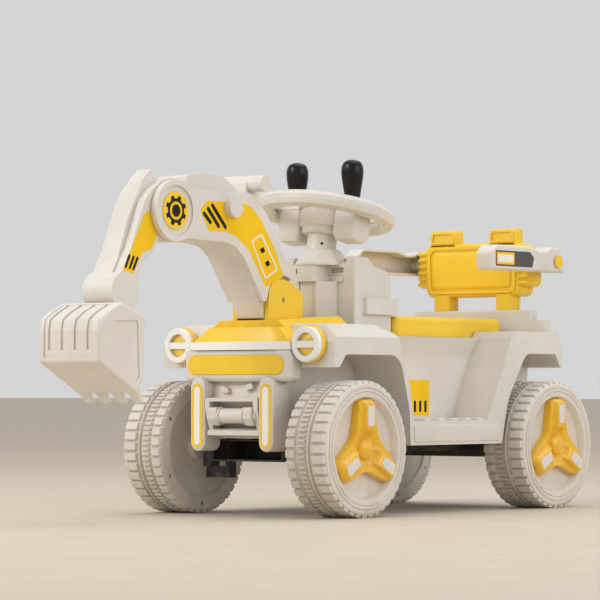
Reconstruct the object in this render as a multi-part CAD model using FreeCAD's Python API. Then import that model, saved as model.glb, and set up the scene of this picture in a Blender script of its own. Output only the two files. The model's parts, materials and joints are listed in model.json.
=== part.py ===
import FreeCAD, Part
import math
import os

# Ride-on toy digger, in millimetres. +X is the vehicle's left, -Y its front, +Z up.
# The floor is Z = 0. Every piece is drawn with Y = 0 at the front axle, and save()
# moves it so that the whole vehicle is centred over the origin.

V = FreeCAD.Vector
X_AXIS = V(1, 0, 0)
Y_AXIS = V(0, 1, 0)
Z_AXIS = V(0, 0, 1)

# ---- driving dimensions -------------------------------------------------------

WHEEL_R = 110.0            # over the tread blocks
WHEEL_W = 82.0
WHEEL_X = 172.5            # middle of a wheel's width
WHEELBASE = 546.0
AXLE_Z = WHEEL_R
AXLE_R = 6.0
RUN_GAP = 0.05             # radial running clearance of every pivot

BODY_X = 181.0             # half width over the fenders
WALL = 3.0                 # moulded wall thickness of the body

BOOM_PIVOT = (4.0, 352.0)      # (Y, Z) of the three arm hinges
ELBOW = (-267.0, 486.0)
BUCKET_PIVOT = (-375.0, 357.0)
PIN_R = 4.0

BOOM_X = 37.5              # half width of the boom
STICK_X = 30.0             # half width of the stick
BUCKET_X = 63.5            # half width of the bucket

STEER_TILT = 12.0          # the column leans back, degrees from vertical
STEER_CENTRE = (165.0, 505.0)  # (Y, Z) of the steering wheel's middle
KINGPIN_X = 112.0
STEER_ARM = 46.0           # kingpin to tie rod, front to back
CRANK_R = 27.6             # column to crank pin, so that 40 degrees moves the rod 19 mm
CRANK_Z = 152.0            # height of the column's lower end
CRANK_PIN_R = 2.5

ARM_PIVOT = (624.0, 432.0)     # (Y, Z) of the armrests' hinge
ARM_X = (129.0, 161.0)         # inner and outer face of an armrest

COLUMN_LEAN = math.tan(math.radians(STEER_TILT))
CRANK_Y = STEER_CENTRE[0] - (STEER_CENTRE[1] - CRANK_Z) * COLUMN_LEAN + CRANK_R

FRONT_END = -471.0         # bucket's front face
REAR_END = WHEELBASE + WHEEL_R   # back of the rear wheels


# ---- helpers ------------------------------------------------------------------

def box(x0, x1, y0, y1, z0, z1):
    return Part.makeBox(x1 - x0, y1 - y0, z1 - z0, V(x0, y0, z0))


def rod_x(r, x0, x1, y, z):
    return Part.makeCylinder(r, x1 - x0, V(x0, y, z), X_AXIS)


def rod_y(r, x, y0, y1, z):
    return Part.makeCylinder(r, y1 - y0, V(x, y0, z), Y_AXIS)


def rod_z(r, x, y, z0, z1):
    return Part.makeCylinder(r, z1 - z0, V(x, y, z0), Z_AXIS)


def place(plane, offset, u, v):
    """A point of a sketch: plane 'yz', 'xz' or 'xy' at the given offset."""
    if plane == "yz":
        return V(offset, u, v)
    if plane == "xz":
        return V(u, offset, v)
    return V(u, v, offset)


def sketch(points, plane, offset):
    """Closed wire through (u, v) or (u, v, r): r rounds that corner."""
    count = len(points)
    corners = []
    for i, p in enumerate(points):
        here = V(p[0], p[1], 0)
        r = p[2] if len(p) > 2 else 0
        if r == 0:
            corners.append((here, None, here))
            continue
        before = points[i - 1]
        after = points[(i + 1) % count]
        a = (V(before[0], before[1], 0) - here).normalize()
        b = (V(after[0], after[1], 0) - here).normalize()
        half = a.getAngle(b) / 2
        reach = r / math.tan(half)
        centre = here + (a + b).normalize() * (r / math.sin(half))
        middle = centre + (here - centre).normalize() * r
        corners.append((here + a * reach, middle, here + b * reach))
    edges = []
    for i, (start, middle, end) in enumerate(corners):
        if middle is not None:
            arc = [place(plane, offset, q.x, q.y) for q in (start, middle, end)]
            edges.append(Part.Arc(*arc).toShape())
        following = corners[(i + 1) % count][0]
        if (following - end).Length > 1e-6:
            line = [place(plane, offset, q.x, q.y) for q in (end, following)]
            edges.append(Part.LineSegment(*line).toShape())
    return Part.Wire(edges)


def prism(points, plane, start, end):
    """Extrude a sketch between two offsets along the plane's normal."""
    face = Part.Face(sketch(points, plane, start))
    return face.extrude(place(plane, end - start, 0, 0))


def loft(sections, plane):
    """Ruled solid through (points, offset) sections with equal corner counts."""
    wires = [sketch(points, plane, offset) for points, offset in sections]
    return Part.makeLoft(wires, True, True)


def turn_x(points, y=0.0, z=0.0):
    """Solid of revolution about an X line: points are (x, radius)."""
    wire = Part.makePolygon([V(x, 0, r) for x, r in points] + [V(points[0][0], 0, points[0][1])])
    solid = Part.Face(wire).revolve(V(0, 0, 0), X_AXIS, 360)
    solid.translate(V(0, y, z))
    return solid


def mirrored(shape):
    return shape.mirror(V(0, 0, 0), X_AXIS)


def both_sides(shape):
    return [shape, mirrored(shape)]


def rounded(shape, r, chosen):
    """Round the edges that the test function chooses."""
    edges = [e for e in shape.Edges if chosen(e)]
    return shape.makeFillet(r, edges) if edges else shape


def along(edge, axis):
    """True for a straight edge parallel to axis."""
    if not isinstance(edge.Curve, (Part.Line, Part.LineSegment)):
        return False
    direction = (edge.Vertexes[-1].Point - edge.Vertexes[0].Point)
    return direction.Length > 1e-6 and abs(abs(direction.normalize().dot(axis)) - 1) < 1e-6


def moved(shape, x=0.0, y=0.0, z=0.0):
    copy = shape.copy()
    copy.translate(V(x, y, z))
    return copy


parts = {}


def save(name, *solids):
    """Register one node, as one solid or a group of separate solids."""
    pieces = []
    for s in solids:
        pieces.extend(s.Solids)
    parts[name] = pieces


# ---- wheels -------------------------------------------------------------------
# Drawn about the X axis, outer face towards +X, then moved to their axles.

HALF_W = WHEEL_W / 2
TREAD_BASE = WHEEL_R - 2.6
BLOCKS = 40
RIBS = 80
SPIDER_TIP = 81.0
PAD_RISE = 9.0             # the arms' pads stand this far out of the tyre's face


def tread_ring(count, x0, x1, filled, depth):
    """Ring of raised blocks: each fills a share of its pitch."""
    outline = []
    pitch = 360.0 / count
    slope = pitch * 0.04
    for i in range(count):
        start = i * pitch
        stop = start + pitch * filled
        for angle, r in ((start - slope, WHEEL_R - depth), (start + slope, WHEEL_R),
                         (stop - slope, WHEEL_R), (stop + slope, WHEEL_R - depth)):
            a = math.radians(angle)
            outline.append((r * math.cos(a), r * math.sin(a)))
    ring = prism(outline, "yz", x0, x1)
    return ring.cut(rod_x(TREAD_BASE - 1.5, x0 - 1, x1 + 1, 0, 0))


def wheel_rim():
    """Moulded tyre and outer face in one hollow half."""
    inner = TREAD_BASE - 4
    profile = [(-HALF_W, inner), (-HALF_W, TREAD_BASE - 1), (-HALF_W + 1, TREAD_BASE),
               (HALF_W - 5, TREAD_BASE), (HALF_W - 2.5, TREAD_BASE - 1.5), (HALF_W - 0.6, 100),
               (HALF_W - 0.6, 98.6), (HALF_W - 1.6, 98), (HALF_W - 1.6, 97.2), (HALF_W, 96.4),
               (HALF_W, 92.6), (HALF_W - 1.4, 91.8), (HALF_W - 1.4, 90.8), (HALF_W - 0.2, 90),
               (HALF_W - 0.2, 84.5), (HALF_W - 1.5, 82.8), (HALF_W - 12, 78), (HALF_W - 13.5, 75),
               (HALF_W - 13.5, 26), (HALF_W - 12, 24), (HALF_W - 12, AXLE_R + RUN_GAP),
               (HALF_W - 30, AXLE_R + RUN_GAP), (HALF_W - 30, 12), (HALF_W - 17, 14),
               (HALF_W - 17, 74), (HALF_W - 15.5, 80), (HALF_W - 6, inner - 4), (HALF_W - 7, inner)]
    drum = turn_x(profile)
    solids = [tread_ring(BLOCKS, -HALF_W + 1, -HALF_W + 22, 0.9, 2.4),
              tread_ring(RIBS, -HALF_W + 25, -HALF_W + 43, 0.5, 2.0),
              tread_ring(BLOCKS, -HALF_W + 52, HALF_W - 4, 0.9, 2.4)]
    seam = rod_x(WHEEL_R - 1.2, -HALF_W + 45.5, -HALF_W + 49.5, 0, 0)
    solids.append(seam.cut(rod_x(TREAD_BASE - 1.5, -HALF_W + 45, -HALF_W + 50, 0, 0)))
    return drum.fuse(solids).removeSplitter()


def wheel_back():
    """Inner disc: a flange with six screw holes, a dish and a hub tube."""
    edge = TREAD_BASE - 4.2
    profile = [(-HALF_W + 1, edge), (-HALF_W + 1, 84), (-HALF_W + 2.2, 83), (-HALF_W + 1, 82),
               (-HALF_W + 5, 80), (-HALF_W + 15, 44), (-HALF_W + 15, 22), (-HALF_W + 4, 20),
               (-HALF_W + 4, AXLE_R + RUN_GAP), (-HALF_W + 47, AXLE_R + RUN_GAP),
               (-HALF_W + 47, 12), (-HALF_W + 19, 14), (-HALF_W + 19, 44), (-HALF_W + 9, 81),
               (-HALF_W + 9, edge)]
    disc = turn_x(profile)
    for i in range(6):
        a = math.radians(30 + 60 * i)
        y, z = 94 * math.cos(a), 94 * math.sin(a)
        disc = disc.cut(rod_x(3.2, -HALF_W, -HALF_W + 6, y, z))
    return disc


def spider_outline(tip_half, tip_r, waist_r, soften):
    """Three flared arms, one pointing up, with concave corners between them."""
    points = []
    for i in range(3):
        up = 90 + 120 * i
        half = math.degrees(math.asin(tip_half / tip_r))
        for angle, r, corner in ((up - half, tip_r, soften), (up + half, tip_r, soften),
                                 (up + 60, waist_r, soften * 2)):
            a = math.radians(angle)
            points.append((r * math.cos(a), r * math.sin(a), corner))
    return points


def insert_block(x0, x1, grow):
    """The pale block let into an arm, before it is turned to its arm."""
    points = [(-9.5 - grow, 70 + grow, 3), (-8 - grow, 37 - grow, 3),
              (8 + grow, 37 - grow, 3), (9.5 + grow, 70 + grow, 3)]
    return prism(points, "yz", x0, x1)


def three_times(shape):
    group = []
    for i in range(3):
        copy = shape.copy()
        copy.rotate(V(0, 0, 0), X_AXIS, 120 * i)
        group.append(copy)
    return group


def wheel_spider():
    """Yellow hub trim: three arms with raised pads, and a domed cap in a hollow."""
    base = HALF_W - 13.4
    star = prism(spider_outline(18.5, SPIDER_TIP - 1.5, 44, 3), "yz", base, HALF_W + 1)
    star = star.common(turn_x([(base, 0), (base, 74.6), (base + 1.4, 77.4), (base + 11.5, 82),
                               (HALF_W + 5, 84), (HALF_W + 5, 0)]))
    foot = [(-15, 76), (-12, 30), (12, 30), (15, 76)]
    pad_top = [(-12, 73), (-10.5, 34), (10.5, 34), (12, 73)]
    pad = loft([(foot, HALF_W - 2), (pad_top, HALF_W + PAD_RISE)], "yz")
    star = star.fuse(three_times(pad))
    bowl = turn_x([(HALF_W + 5, 0), (HALF_W - 9.5, 0), (HALF_W - 9.5, 17), (HALF_W + 5, 33)])
    star = star.cut(bowl)
    for pocket in three_times(insert_block(HALF_W + 2, HALF_W + 20, 0.05)):
        star = star.cut(pocket)
    dome = Part.makeSphere(19, V(HALF_W - 22, 0, 0)).common(
        rod_x(14.5, HALF_W - 11, HALF_W, 0, 0))
    star = star.fuse(dome)
    star = star.cut([rod_x(11, base - 1, HALF_W - 8.8, 0, 0),
                     rod_x(26.5, base - 1, HALF_W - 11.8, 0, 0)])
    return star.removeSplitter()


def build_wheels():
    rim = wheel_rim()
    back = wheel_back()
    spider = wheel_spider()
    inserts = three_times(insert_block(HALF_W + 2, HALF_W + PAD_RISE + 0.4, 0))
    for end, y in (("front", 0.0), ("rear", WHEELBASE)):
        for side, sign in (("left", 1), ("right", -1)):
            name = "wheel_%s_%s" % (end, side)
            for piece, solids in (("rim", [rim]), ("back", [back]), ("spider", [spider]),
                                  ("inserts", inserts)):
                if sign < 0:
                    solids = [mirrored(s) for s in solids]
                save(name + "_" + piece,
                     *[moved(s, sign * WHEEL_X, y, AXLE_Z) for s in solids])


# ---- chassis and running gear -------------------------------------------------

CHASSIS_X = 75.0
CHASSIS_FRONT = -43.0
CHASSIS_BACK = 610.0
CHASSIS_Z = (88.0, 112.0)


def build_chassis():
    """Black tray under the body: front beam, floor and rear axle boxes."""
    z0, z1 = CHASSIS_Z
    tray = box(-CHASSIS_X, CHASSIS_X, CHASSIS_FRONT, 40, z0, z1 + 12)
    tray = tray.cut(box(-CHASSIS_X + WALL, CHASSIS_X - WALL, CHASSIS_FRONT - 1, 37, z0 + WALL, z1 + 9))
    floor = box(-CHASSIS_X, CHASSIS_X, 40, WHEELBASE - 40, z0 + 12, z1)
    floor = floor.cut(box(-70, 70, 46, WHEELBASE - 46, z0 + 8, z1 - WALL))
    rear = box(-90, 90, WHEELBASE - 40, CHASSIS_BACK, z0, z1 + 26)
    rear = rear.cut(box(-84, 84, WHEELBASE - 34, CHASSIS_BACK - 6, z0 - 1, z1 + 23))
    for side in (-1, 1):
        tray = tray.fuse(rod_z(9, side * KINGPIN_X, 0, z1 + 26, z1 + 46).fuse(
            box(min(side * 70, side * KINGPIN_X), max(side * 70, side * KINGPIN_X),
                -9, 9, z1 + 26, z1 + 46)))
        tray = tray.fuse(rod_z(9, side * KINGPIN_X, 0, z0 - 28, z0 - 10).fuse(
            box(min(side * 70, side * KINGPIN_X), max(side * 70, side * KINGPIN_X),
                -9, 9, z0 - 28, z0 - 10)))
        post = box(min(side * 66, side * 75), max(side * 66, side * 75), -9, 9, z0 - 28, z1 + 46)
        tray = tray.fuse(post)
        tray = tray.cut(rod_z(PIN_R + RUN_GAP, side * KINGPIN_X, 0, z0 - 40, z1 + 60))
    frame = tray.fuse([floor, rear])
    frame = frame.cut(rod_x(AXLE_R, -100, 100, WHEELBASE, AXLE_Z))
    save("chassis_frame", frame.removeSplitter())


def build_rear_axle():
    """Steel bar through the chassis, with a nut at each end."""
    reach = WHEEL_X + HALF_W - 9.6
    bar = rod_x(AXLE_R, -reach, reach, WHEELBASE, AXLE_Z)
    for side in (-1, 1):
        nut = rod_x(9.5, 0, 2.2, WHEELBASE, AXLE_Z)
        nut.translate(V(side * (reach - 1.2) - 1.1, 0, 0))
        bar = bar.fuse(nut)
    save("rear_axle", bar.removeSplitter())


def build_knuckles():
    """Stub axle, kingpin and steering arm in one for each front wheel."""
    z0, z1 = CHASSIS_Z
    low, high = z0 - 9.5, z1 + 25.5
    block = box(KINGPIN_X - 8, KINGPIN_X + 9, -11, 11, low, high)
    pin = rod_z(PIN_R, KINGPIN_X, 0, z0 - 27.5, z1 + 45.5)
    stub_end = WHEEL_X + HALF_W - 9.6
    stub = rod_x(AXLE_R, KINGPIN_X, stub_end, 0, AXLE_Z)
    nut = rod_x(9.5, stub_end - 2.3, stub_end - 0.1, 0, AXLE_Z)
    slot_end = STEER_ARM + 5
    arm = box(KINGPIN_X - 10, KINGPIN_X + 6, 8, slot_end, high - 8, high)
    eye = rod_z(8, KINGPIN_X - 2, slot_end, high - 8, high)
    slot = box(KINGPIN_X - 5.4, KINGPIN_X + 1.4, STEER_ARM - 1, slot_end, high - 20, high + 5)
    slot = slot.fuse([rod_z(3.4, KINGPIN_X - 2, y, high - 20, high + 5)
                      for y in (STEER_ARM - 1, slot_end)])
    knuckle = block.fuse([pin, stub, nut, arm, eye]).cut(slot).removeSplitter()
    save("knuckle_left", knuckle)
    save("knuckle_right", mirrored(knuckle))


def build_tie_rod():
    """Flat bar over both steering arms; its tongue takes the column's crank pin."""
    high = CHASSIS_Z[1] + 25.5
    end = KINGPIN_X - 2
    bar = box(-end, end, STEER_ARM - 6, STEER_ARM + 6, high + 1, high + 6)
    for x in (-end, end):
        bar = bar.fuse(rod_z(8, x, STEER_ARM, high + 1, high + 6))
        bar = bar.fuse(rod_z(2.0, x, STEER_ARM, high - 7, high + 3))
    tongue = box(-10, 10, STEER_ARM, CRANK_Y + 12, high + 1, high + 6)
    gap = CRANK_PIN_R + 1.9
    slot = box(-gap, gap, CRANK_Y - 10, CRANK_Y + 2, high - 1, high + 8)
    slot = slot.fuse([rod_z(gap, 0, y, high - 1, high + 8) for y in (CRANK_Y - 10, CRANK_Y + 2)])
    save("tie_rod", bar.fuse(tongue).cut(slot).removeSplitter())


def build_drive():
    """Gearbox on the rear axle and the battery ahead of it."""
    case = box(-78, -30, WHEELBASE - 33, WHEELBASE + 30, 92, 128)
    motor = rod_y(15, -54, WHEELBASE - 33, WHEELBASE - 30, 110)
    case = rounded(case, 3, lambda e: along(e, X_AXIS)).fuse(motor)
    save("gearbox", case.cut(rod_x(AXLE_R + 0.3, -90, -20, WHEELBASE, AXLE_Z)).removeSplitter())
    battery = box(-35, 35, 330, 430, CHASSIS_Z[1], CHASSIS_Z[1] + 70)
    battery = rounded(battery, 3, lambda e: along(e, Z_AXIS))
    for x in (-18, 18):
        battery = battery.fuse(box(x - 3, x + 3, 340, 346, CHASSIS_Z[1] + 70, CHASSIS_Z[1] + 76))
    save("battery", battery)


# ---- body ---------------------------------------------------------------------

DECK_Z = 270.0             # shelf under the hood
FENDER_Z = 312.0
RAIL_Z = 295.0             # top of the body beside the seat
TAIL_Z = 306.0
STEP_Z = (113.5, 154.0)
INNER_X = 79.0             # body side beside the front wheels
WELL_X = 95.0              # inner wall of the footwells
TAIL_Y = 626.0
COVER_Y = 585.0            # front of the stepped rear cover


def build_body():
    """Main moulding: fenders, footwells and steps, open underneath."""
    side = [(-43, 241), (-43, 284, 8), (-22, FENDER_Z, 8), (106, FENDER_Z, 14), (135, RAIL_Z, 10),
            (459, RAIL_Z), (468, TAIL_Z), (596, TAIL_Z), (TAIL_Y, 282, 6), (TAIL_Y, 243, 3),
            (614, 246, 3), (592, 268, 12), (497, 268, 24), (441, 188, 120), (423, STEP_Z[0]),
            (161, STEP_Z[0]), (158, 172, 60), (132, 262, 34), (-12, 262, 12), (-30, 241, 3)]
    flank = prism(side, "yz", INNER_X, BODY_X)
    bevel = [(145, FENDER_Z + 1), (145, FENDER_Z), (BODY_X + 1, 289.5), (BODY_X + 1, FENDER_Z + 1)]
    flank = flank.cut(prism(bevel, "xz", -60, 150))
    tail_bevel = [(BODY_X - 12, TAIL_Y + 1), (BODY_X + 1, 575), (BODY_X + 1, TAIL_Y + 1)]
    flank = flank.cut(prism(tail_bevel, "xy", 200, 320))
    outside = BODY_X + 20
    flank = flank.cut(loft([
        ([(WELL_X, 170), (outside, 170), (outside, 378), (150, 385), (97, 392), (WELL_X, 392)],
         STEP_Z[1]),
        ([(WELL_X, 160), (outside, 160), (outside, 407), (150, 411), (101, 412), (WELL_X, 382)],
         208),
        ([(WELL_X, 136), (outside, 136), (outside, 437), (150, 438), (105, 433), (WELL_X, 369)],
         262),
        ([(116, 130), (outside, 130), (outside, 450), (150, 452), (117, 452), (116, 369)],
         RAIL_Z + 1)], "xy"))
    flank = flank.cut(box(98, BODY_X - WALL, 172, 405, STEP_Z[0] - 1, STEP_Z[1] - WALL))
    front_room = [(-40, 265), (-40, 282), (-20, FENDER_Z - WALL), (104, FENDER_Z - WALL),
                  (128, RAIL_Z - WALL), (128, 265)]
    room = prism(front_room, "yz", INNER_X - 5, BODY_X - WALL)
    room = room.cut(prism([(142, FENDER_Z), (142, FENDER_Z - WALL), (BODY_X - WALL, 287),
                           (BODY_X, 287), (BODY_X, FENDER_Z)], "xz", -60, 150))
    rear_room = [(502, 271), (473, TAIL_Z - WALL), (594, TAIL_Z - WALL), (TAIL_Y - 5, 280),
                 (TAIL_Y - 5, 252), (594, 271)]
    rear_room = prism(rear_room, "yz", INNER_X - 5, BODY_X - 16)
    flank = flank.cut(room).cut(rear_room)
    middle = [(-43, 128), (-43, DECK_Z), (152, DECK_Z), (152, RAIL_Z), (COVER_Y, RAIL_Z),
              (COVER_Y, TAIL_Z), (604, TAIL_Z), (TAIL_Y, 282), (TAIL_Y, 243), (614, 140),
              (165, 112), (60, 112), (60, 128)]
    narrow = box(-1, INNER_X + 1, -50, 165, 100, 320)
    wide = box(-1, WELL_X + 1, 165, 640, 100, 320)
    core = prism(middle, "yz", 0, WELL_X + 1).common(narrow.fuse(wide))
    hollow_narrow = box(-1, INNER_X - WALL, -40, 168, 100, DECK_Z - WALL)
    hollow_wide = box(-1, WELL_X - WALL, 168, 604, 100, RAIL_Z - WALL)
    hollow_step = box(-1, INNER_X - WALL, 156, 170, 260, RAIL_Z - WALL)
    half = flank.fuse(core).cut([hollow_narrow, hollow_wide, hollow_step])
    tread = []
    for i in range(5):
        y = 205 + 38 * i
        tread.append(box(104, BODY_X - 8, y, y + 14, STEP_Z[1] - 0.5, STEP_Z[1] + 1.5))
    half = half.fuse(tread)
    whole = half.fuse(mirrored(half))
    py, pz = PEDAL_HINGE
    for x in (PEDAL_X[0] - 6, PEDAL_X[1] + 0.5):
        ear = box(x, x + 5.5, py - 5, py + 5, STEP_Z[1] - 1, pz).fuse(rod_x(5, x, x + 5.5, py, pz))
        whole = whole.fuse(ear)
    whole = whole.fuse(rod_x(2, PEDAL_X[0] - 3, PEDAL_X[1] + 3, py, pz))
    whole = whole.cut(column_tube(26, 200, 420))
    whole = whole.cut(box(-SEAT_X - 1.5, SEAT_X + 1.5, 200, SEAT_Y[1] + 1, RAIL_Z, 320))
    whole = whole.cut(both_sides(box(INNER_X - 9, INNER_X + 2, -12, 60, 127, 162)))
    whole = whole.cut(box(-60, 60, 300, 470, RAIL_Z - 5, RAIL_Z + 1))
    save("body_shell", whole.removeSplitter())


def column_tube(r, z0, z1):
    """Cylinder about the leaning steering column, between two heights."""
    axis = V(0, COLUMN_LEAN, 1)
    start = V(0, STEER_CENTRE[0] + (z0 - STEER_CENTRE[1]) * COLUMN_LEAN, z0)
    return Part.makeCylinder(r, axis.Length * (z1 - z0), start, axis)


def trim(shape, p1, p2, p3, keep):
    """Cut away the side of a plane that does not hold the point keep."""
    p1, p2, p3, keep = V(*p1), V(*p2), V(*p3), V(*keep)
    normal = (p2 - p1).cross(p3 - p1).normalize()
    if normal.dot(keep - p1) > 0:
        normal = normal * -1
    size = 1500
    block = Part.makeBox(size, size, size, V(-size / 2, -size / 2, 0))
    turn = FreeCAD.Rotation(Z_AXIS, normal)
    block.Placement = FreeCAD.Placement(p1, turn).multiply(block.Placement)
    return shape.cut(block)


HOOD_X = INNER_X - WALL + 28


def build_hood():
    """Faceted hood and the two cheeks that carry the boom."""
    def facets(top, drop):
        shape = box(-HOOD_X + drop, HOOD_X - drop, -67 + drop, 104 - drop, DECK_Z, 330)
        inside = (0, 20, 280)
        planes = [((0, -57, 307), (1, -57, 307), (0, -67, 284)),
                  ((0, -40, 318), (1, -40, 318), (0, 104, 327))]
        for side in (-1, 1):
            planes.append(((side * 49, -57, 307), (side * 60, -67, 284), (side * 100, -58, 284)))
            planes.append(((side * 62, -40, 318), (side * 100, -58, 284), (side * 75, 98, 327)))
        for p in planes:
            shape = trim(shape, *[(q[0], q[1], q[2] - top) for q in p], inside)
        return shape
    skin = facets(0, 0)
    step = skin.common(box(-200, 200, -100, -40, 307, 340))
    skin = skin.cut(step)
    skin = skin.cut(facets(WALL, WALL).cut(box(-200, 200, -100, -37, 304, 340)))
    plinth = box(-62, 62, -40, 10, 306, 318.5).cut(box(-59, 59, -37, 11, 300, 315.5))
    skin = skin.fuse(plinth)
    slot = box(-BOOM_X - 1, BOOM_X + 1, BRACKET_Y[0] - 0.3, BRACKET_Y[1] + 0.3, 295, 340)
    fender = [(-43.2, 200), (-43.2, 284.2, 8), (-22, FENDER_Z + 0.2, 8), (106, FENDER_Z + 0.2, 14),
              (135, RAIL_Z), (135, 200)]
    skin = skin.cut([slot] + both_sides(prism(fender, "yz", INNER_X - 0.2, BODY_X)))
    skin = skin.cut(light_bar(0.3)).removeSplitter()
    save("hood", max(skin.Solids, key=lambda solid: solid.Volume))


BRACKET_Y = (-34.0, 54.0)
CHEEK_X = (29.0, BOOM_X + 0.8)


def cheek_outline(bottom):
    front, back = BRACKET_Y
    return [(front, bottom), (front, 352, 6), (-32, 370, 20), (-18, 384, 22), (6, 386, 20),
            (24, 381, 14), (back, 365, 4), (back, bottom)]


def build_bracket():
    """Two cheeks on a plate under the hood, with the boom's pin through them."""
    front, back = BRACKET_Y
    cheek = prism(cheek_outline(296), "yz", *CHEEK_X)
    base = box(-CHEEK_X[1], CHEEK_X[1], front, back, 293, 299)
    legs = [box(-34, -28, -20, 40, DECK_Z, 294), box(28, 34, -20, 40, DECK_Z, 294)]
    bracket = base.fuse(both_sides(cheek) + legs)
    y, z = BOOM_PIVOT
    bracket = bracket.cut(rod_x(PIN_R, -60, 60, y, z))
    save("boom_bracket", bracket.removeSplitter())
    save("boom_pin", rod_x(PIN_R, -CHEEK_X[1] + 0.6, CHEEK_X[1] - 0.6, y, z))


# ---- digger arm ---------------------------------------------------------------

ELBOW_DISC_R = 48.5
ELBOW_CAP_R = 30.5
FOOT_X = 28.4              # half width of the boom's foot between the cheeks
HEAD_R = 56.0              # room for the stick's head inside the boom's fork


def inset(points, plane, start, end, wall):
    """Like prism, but drawn inside the outline by one wall."""
    wire = sketch(points, plane, start)
    face = Part.Face(wire).makeOffset2D(-wall)
    return face.extrude(place(plane, end - start, 0, 0))


def build_boom():
    """Boom in two moulded halves: foot, bent box section, fork and tow bar handle."""
    py, pz = BOOM_PIVOT
    ey, ez = ELBOW
    panel = [(-36, 349), (-46, 349), (-70, 382, 30), (-97, 420, 30), (-118, 436, 30),
             (-145, 441), (-228, 444), (-264, 440), (-264, 530), (-226, 524), (-91, 524),
             (-66, 519, 14), (-33, 486, 30), (16, 410, 30), (34, 380), (40, 349)]
    foot = [(-34, 321, 4), (-48, 349), (-70, 384), (0, 430), (24, 396), (40, 349), (36, 330, 16),
            (20, 321, 10)]
    hump = [(-232, 522), (-230, 543, 3), (-222, 545, 4), (-175, 550, 12), (-140, 547, 20),
            (-112, 531, 12), (-98, 520), (-110, 515)]
    skin = prism(panel, "yz", 0, BOOM_X)
    around_cheek = rod_x(40, FOOT_X, BOOM_X + 1, py, pz)
    lowered = [(-28.5, 377), (-45, 334), (60, 334), (60, 385), (16, 385)]
    around_cheek = around_cheek.fuse(prism(lowered, "yz", FOOT_X, BOOM_X + 1))
    skin = skin.cut(around_cheek)
    skin = skin.fuse([prism(foot, "yz", 0, FOOT_X), prism(hump, "yz", 0, 30),
                      rod_x(ELBOW_DISC_R, STICK_X + 0.8, BOOM_X + 4.5, ey, ez),
                      rod_x(16, BOOM_X - 2, BOOM_X + 13, -130, 497),
                      rod_x(13.5, 0, 50, -55, 540)])
    neck = [(-70, 540), (-52, 552), (-40, 534), (-28, 480), (-72, 505)]
    skin = skin.fuse(prism(neck, "yz", 0, 20))
    skin = skin.cut(inset(panel, "yz", -1, BOOM_X - WALL, WALL).cut(
        prism([(-90, 300), (80, 300), (80, 400), (-90, 400)], "yz", -2, BOOM_X)))
    skin = skin.cut(rod_x(HEAD_R, -1, STICK_X + 0.8, ey, ez))
    skin = skin.cut(box(-1, STICK_X + 0.8, ey - 80, ey, ez - 60, ez + 70))
    skin = skin.cut(rod_x(ELBOW_DISC_R - 8.5, BOOM_X + 1.5, BOOM_X + 9, ey, ez))
    skin = skin.cut(rod_x(PIN_R, 0, BOOM_X + 1.5, ey, ez))
    skin = skin.cut(rod_x(PIN_R + RUN_GAP, -1, BOOM_X, py, pz)).removeSplitter()
    half = max(skin.Solids, key=lambda solid: solid.Volume)
    save("boom_shell_left", half)
    save("boom_shell_right", mirrored(half))
    save("elbow_pin", rod_x(PIN_R, -BOOM_X - 1.4, BOOM_X + 1.4, ey, ez))
    cap = rod_x(ELBOW_CAP_R, BOOM_X + 1.5, BOOM_X + 3, ey, ez)
    save("elbow_caps", *both_sides(cap))


LUG_X = (14.0, 20.0)
BARREL_R = 30.7


def build_stick():
    """Stick in two halves: head in the boom's fork, ribbed front, bucket barrel."""
    ey, ez = ELBOW
    by, bz = BUCKET_PIVOT
    blade = [(-264, 538, 4), (-287, 533, 20), (-312, 518, 20), (-328, 500, 20), (-338, 480),
             (-362, 423), (-383, 386), (-400, 360), (-350, 352), (-343, 384.5, 2), (-331, 406, 4),
             (-313, 417, 5), (-292, 447), (-262, 450)]
    rib = [(-285, 535), (-292, 551, 3), (-297, 551, 4), (-317, 533, 6), (-333, 502, 30),
           (-352, 470), (-373, 412), (-391, 378), (-385, 360), (-362, 372), (-345, 430),
           (-320, 490)]
    skin = prism(blade, "yz", 0, STICK_X)
    skin = skin.cut(inset(blade, "yz", -1, STICK_X - WALL, WALL))
    skin = skin.fuse([prism(rib, "yz", 0, 14), rod_x(49, 0, STICK_X, ey, ez),
                      rod_x(BARREL_R, 0, STICK_X + 1, by, bz)])
    skin = skin.cut(rod_x(44, -1, STICK_X - WALL, ey, ez).cut(rod_x(9, -2, STICK_X, ey, ez)))
    skin = skin.cut(rod_x(PIN_R + RUN_GAP, -1, STICK_X + 5, ey, ez))
    lug_room = rod_x(11, LUG_X[0] - 0.6, LUG_X[1] + 0.6, by, bz)
    for degrees in range(-10, 56, 4):
        swung = prism(lug_outline(0.8), "yz", LUG_X[0] - 0.6, LUG_X[1] + 0.6)
        swung.rotate(V(0, by, bz), X_AXIS, degrees)
        lug_room = lug_room.fuse(swung)
    skin = skin.cut(lug_room)
    skin = skin.cut(rod_x(PIN_R, -1, STICK_X - 1, by, bz)).removeSplitter()
    half = max(skin.Solids, key=lambda solid: solid.Volume)
    save("stick_shell_left", half)
    save("stick_shell_right", mirrored(half))
    save("bucket_pin", rod_x(PIN_R, -STICK_X + 1.1, STICK_X - 1.1, by, bz))


def lug_outline(grow):
    """Side view of the bucket's two hinge lugs, widened all round by grow."""
    by, bz = BUCKET_PIVOT
    return [(by - 9 - grow, bz), (by - 13 - grow, bz - 38), (by + 4 + grow, bz - 38),
            (by + 9 + grow, bz)]


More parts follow.
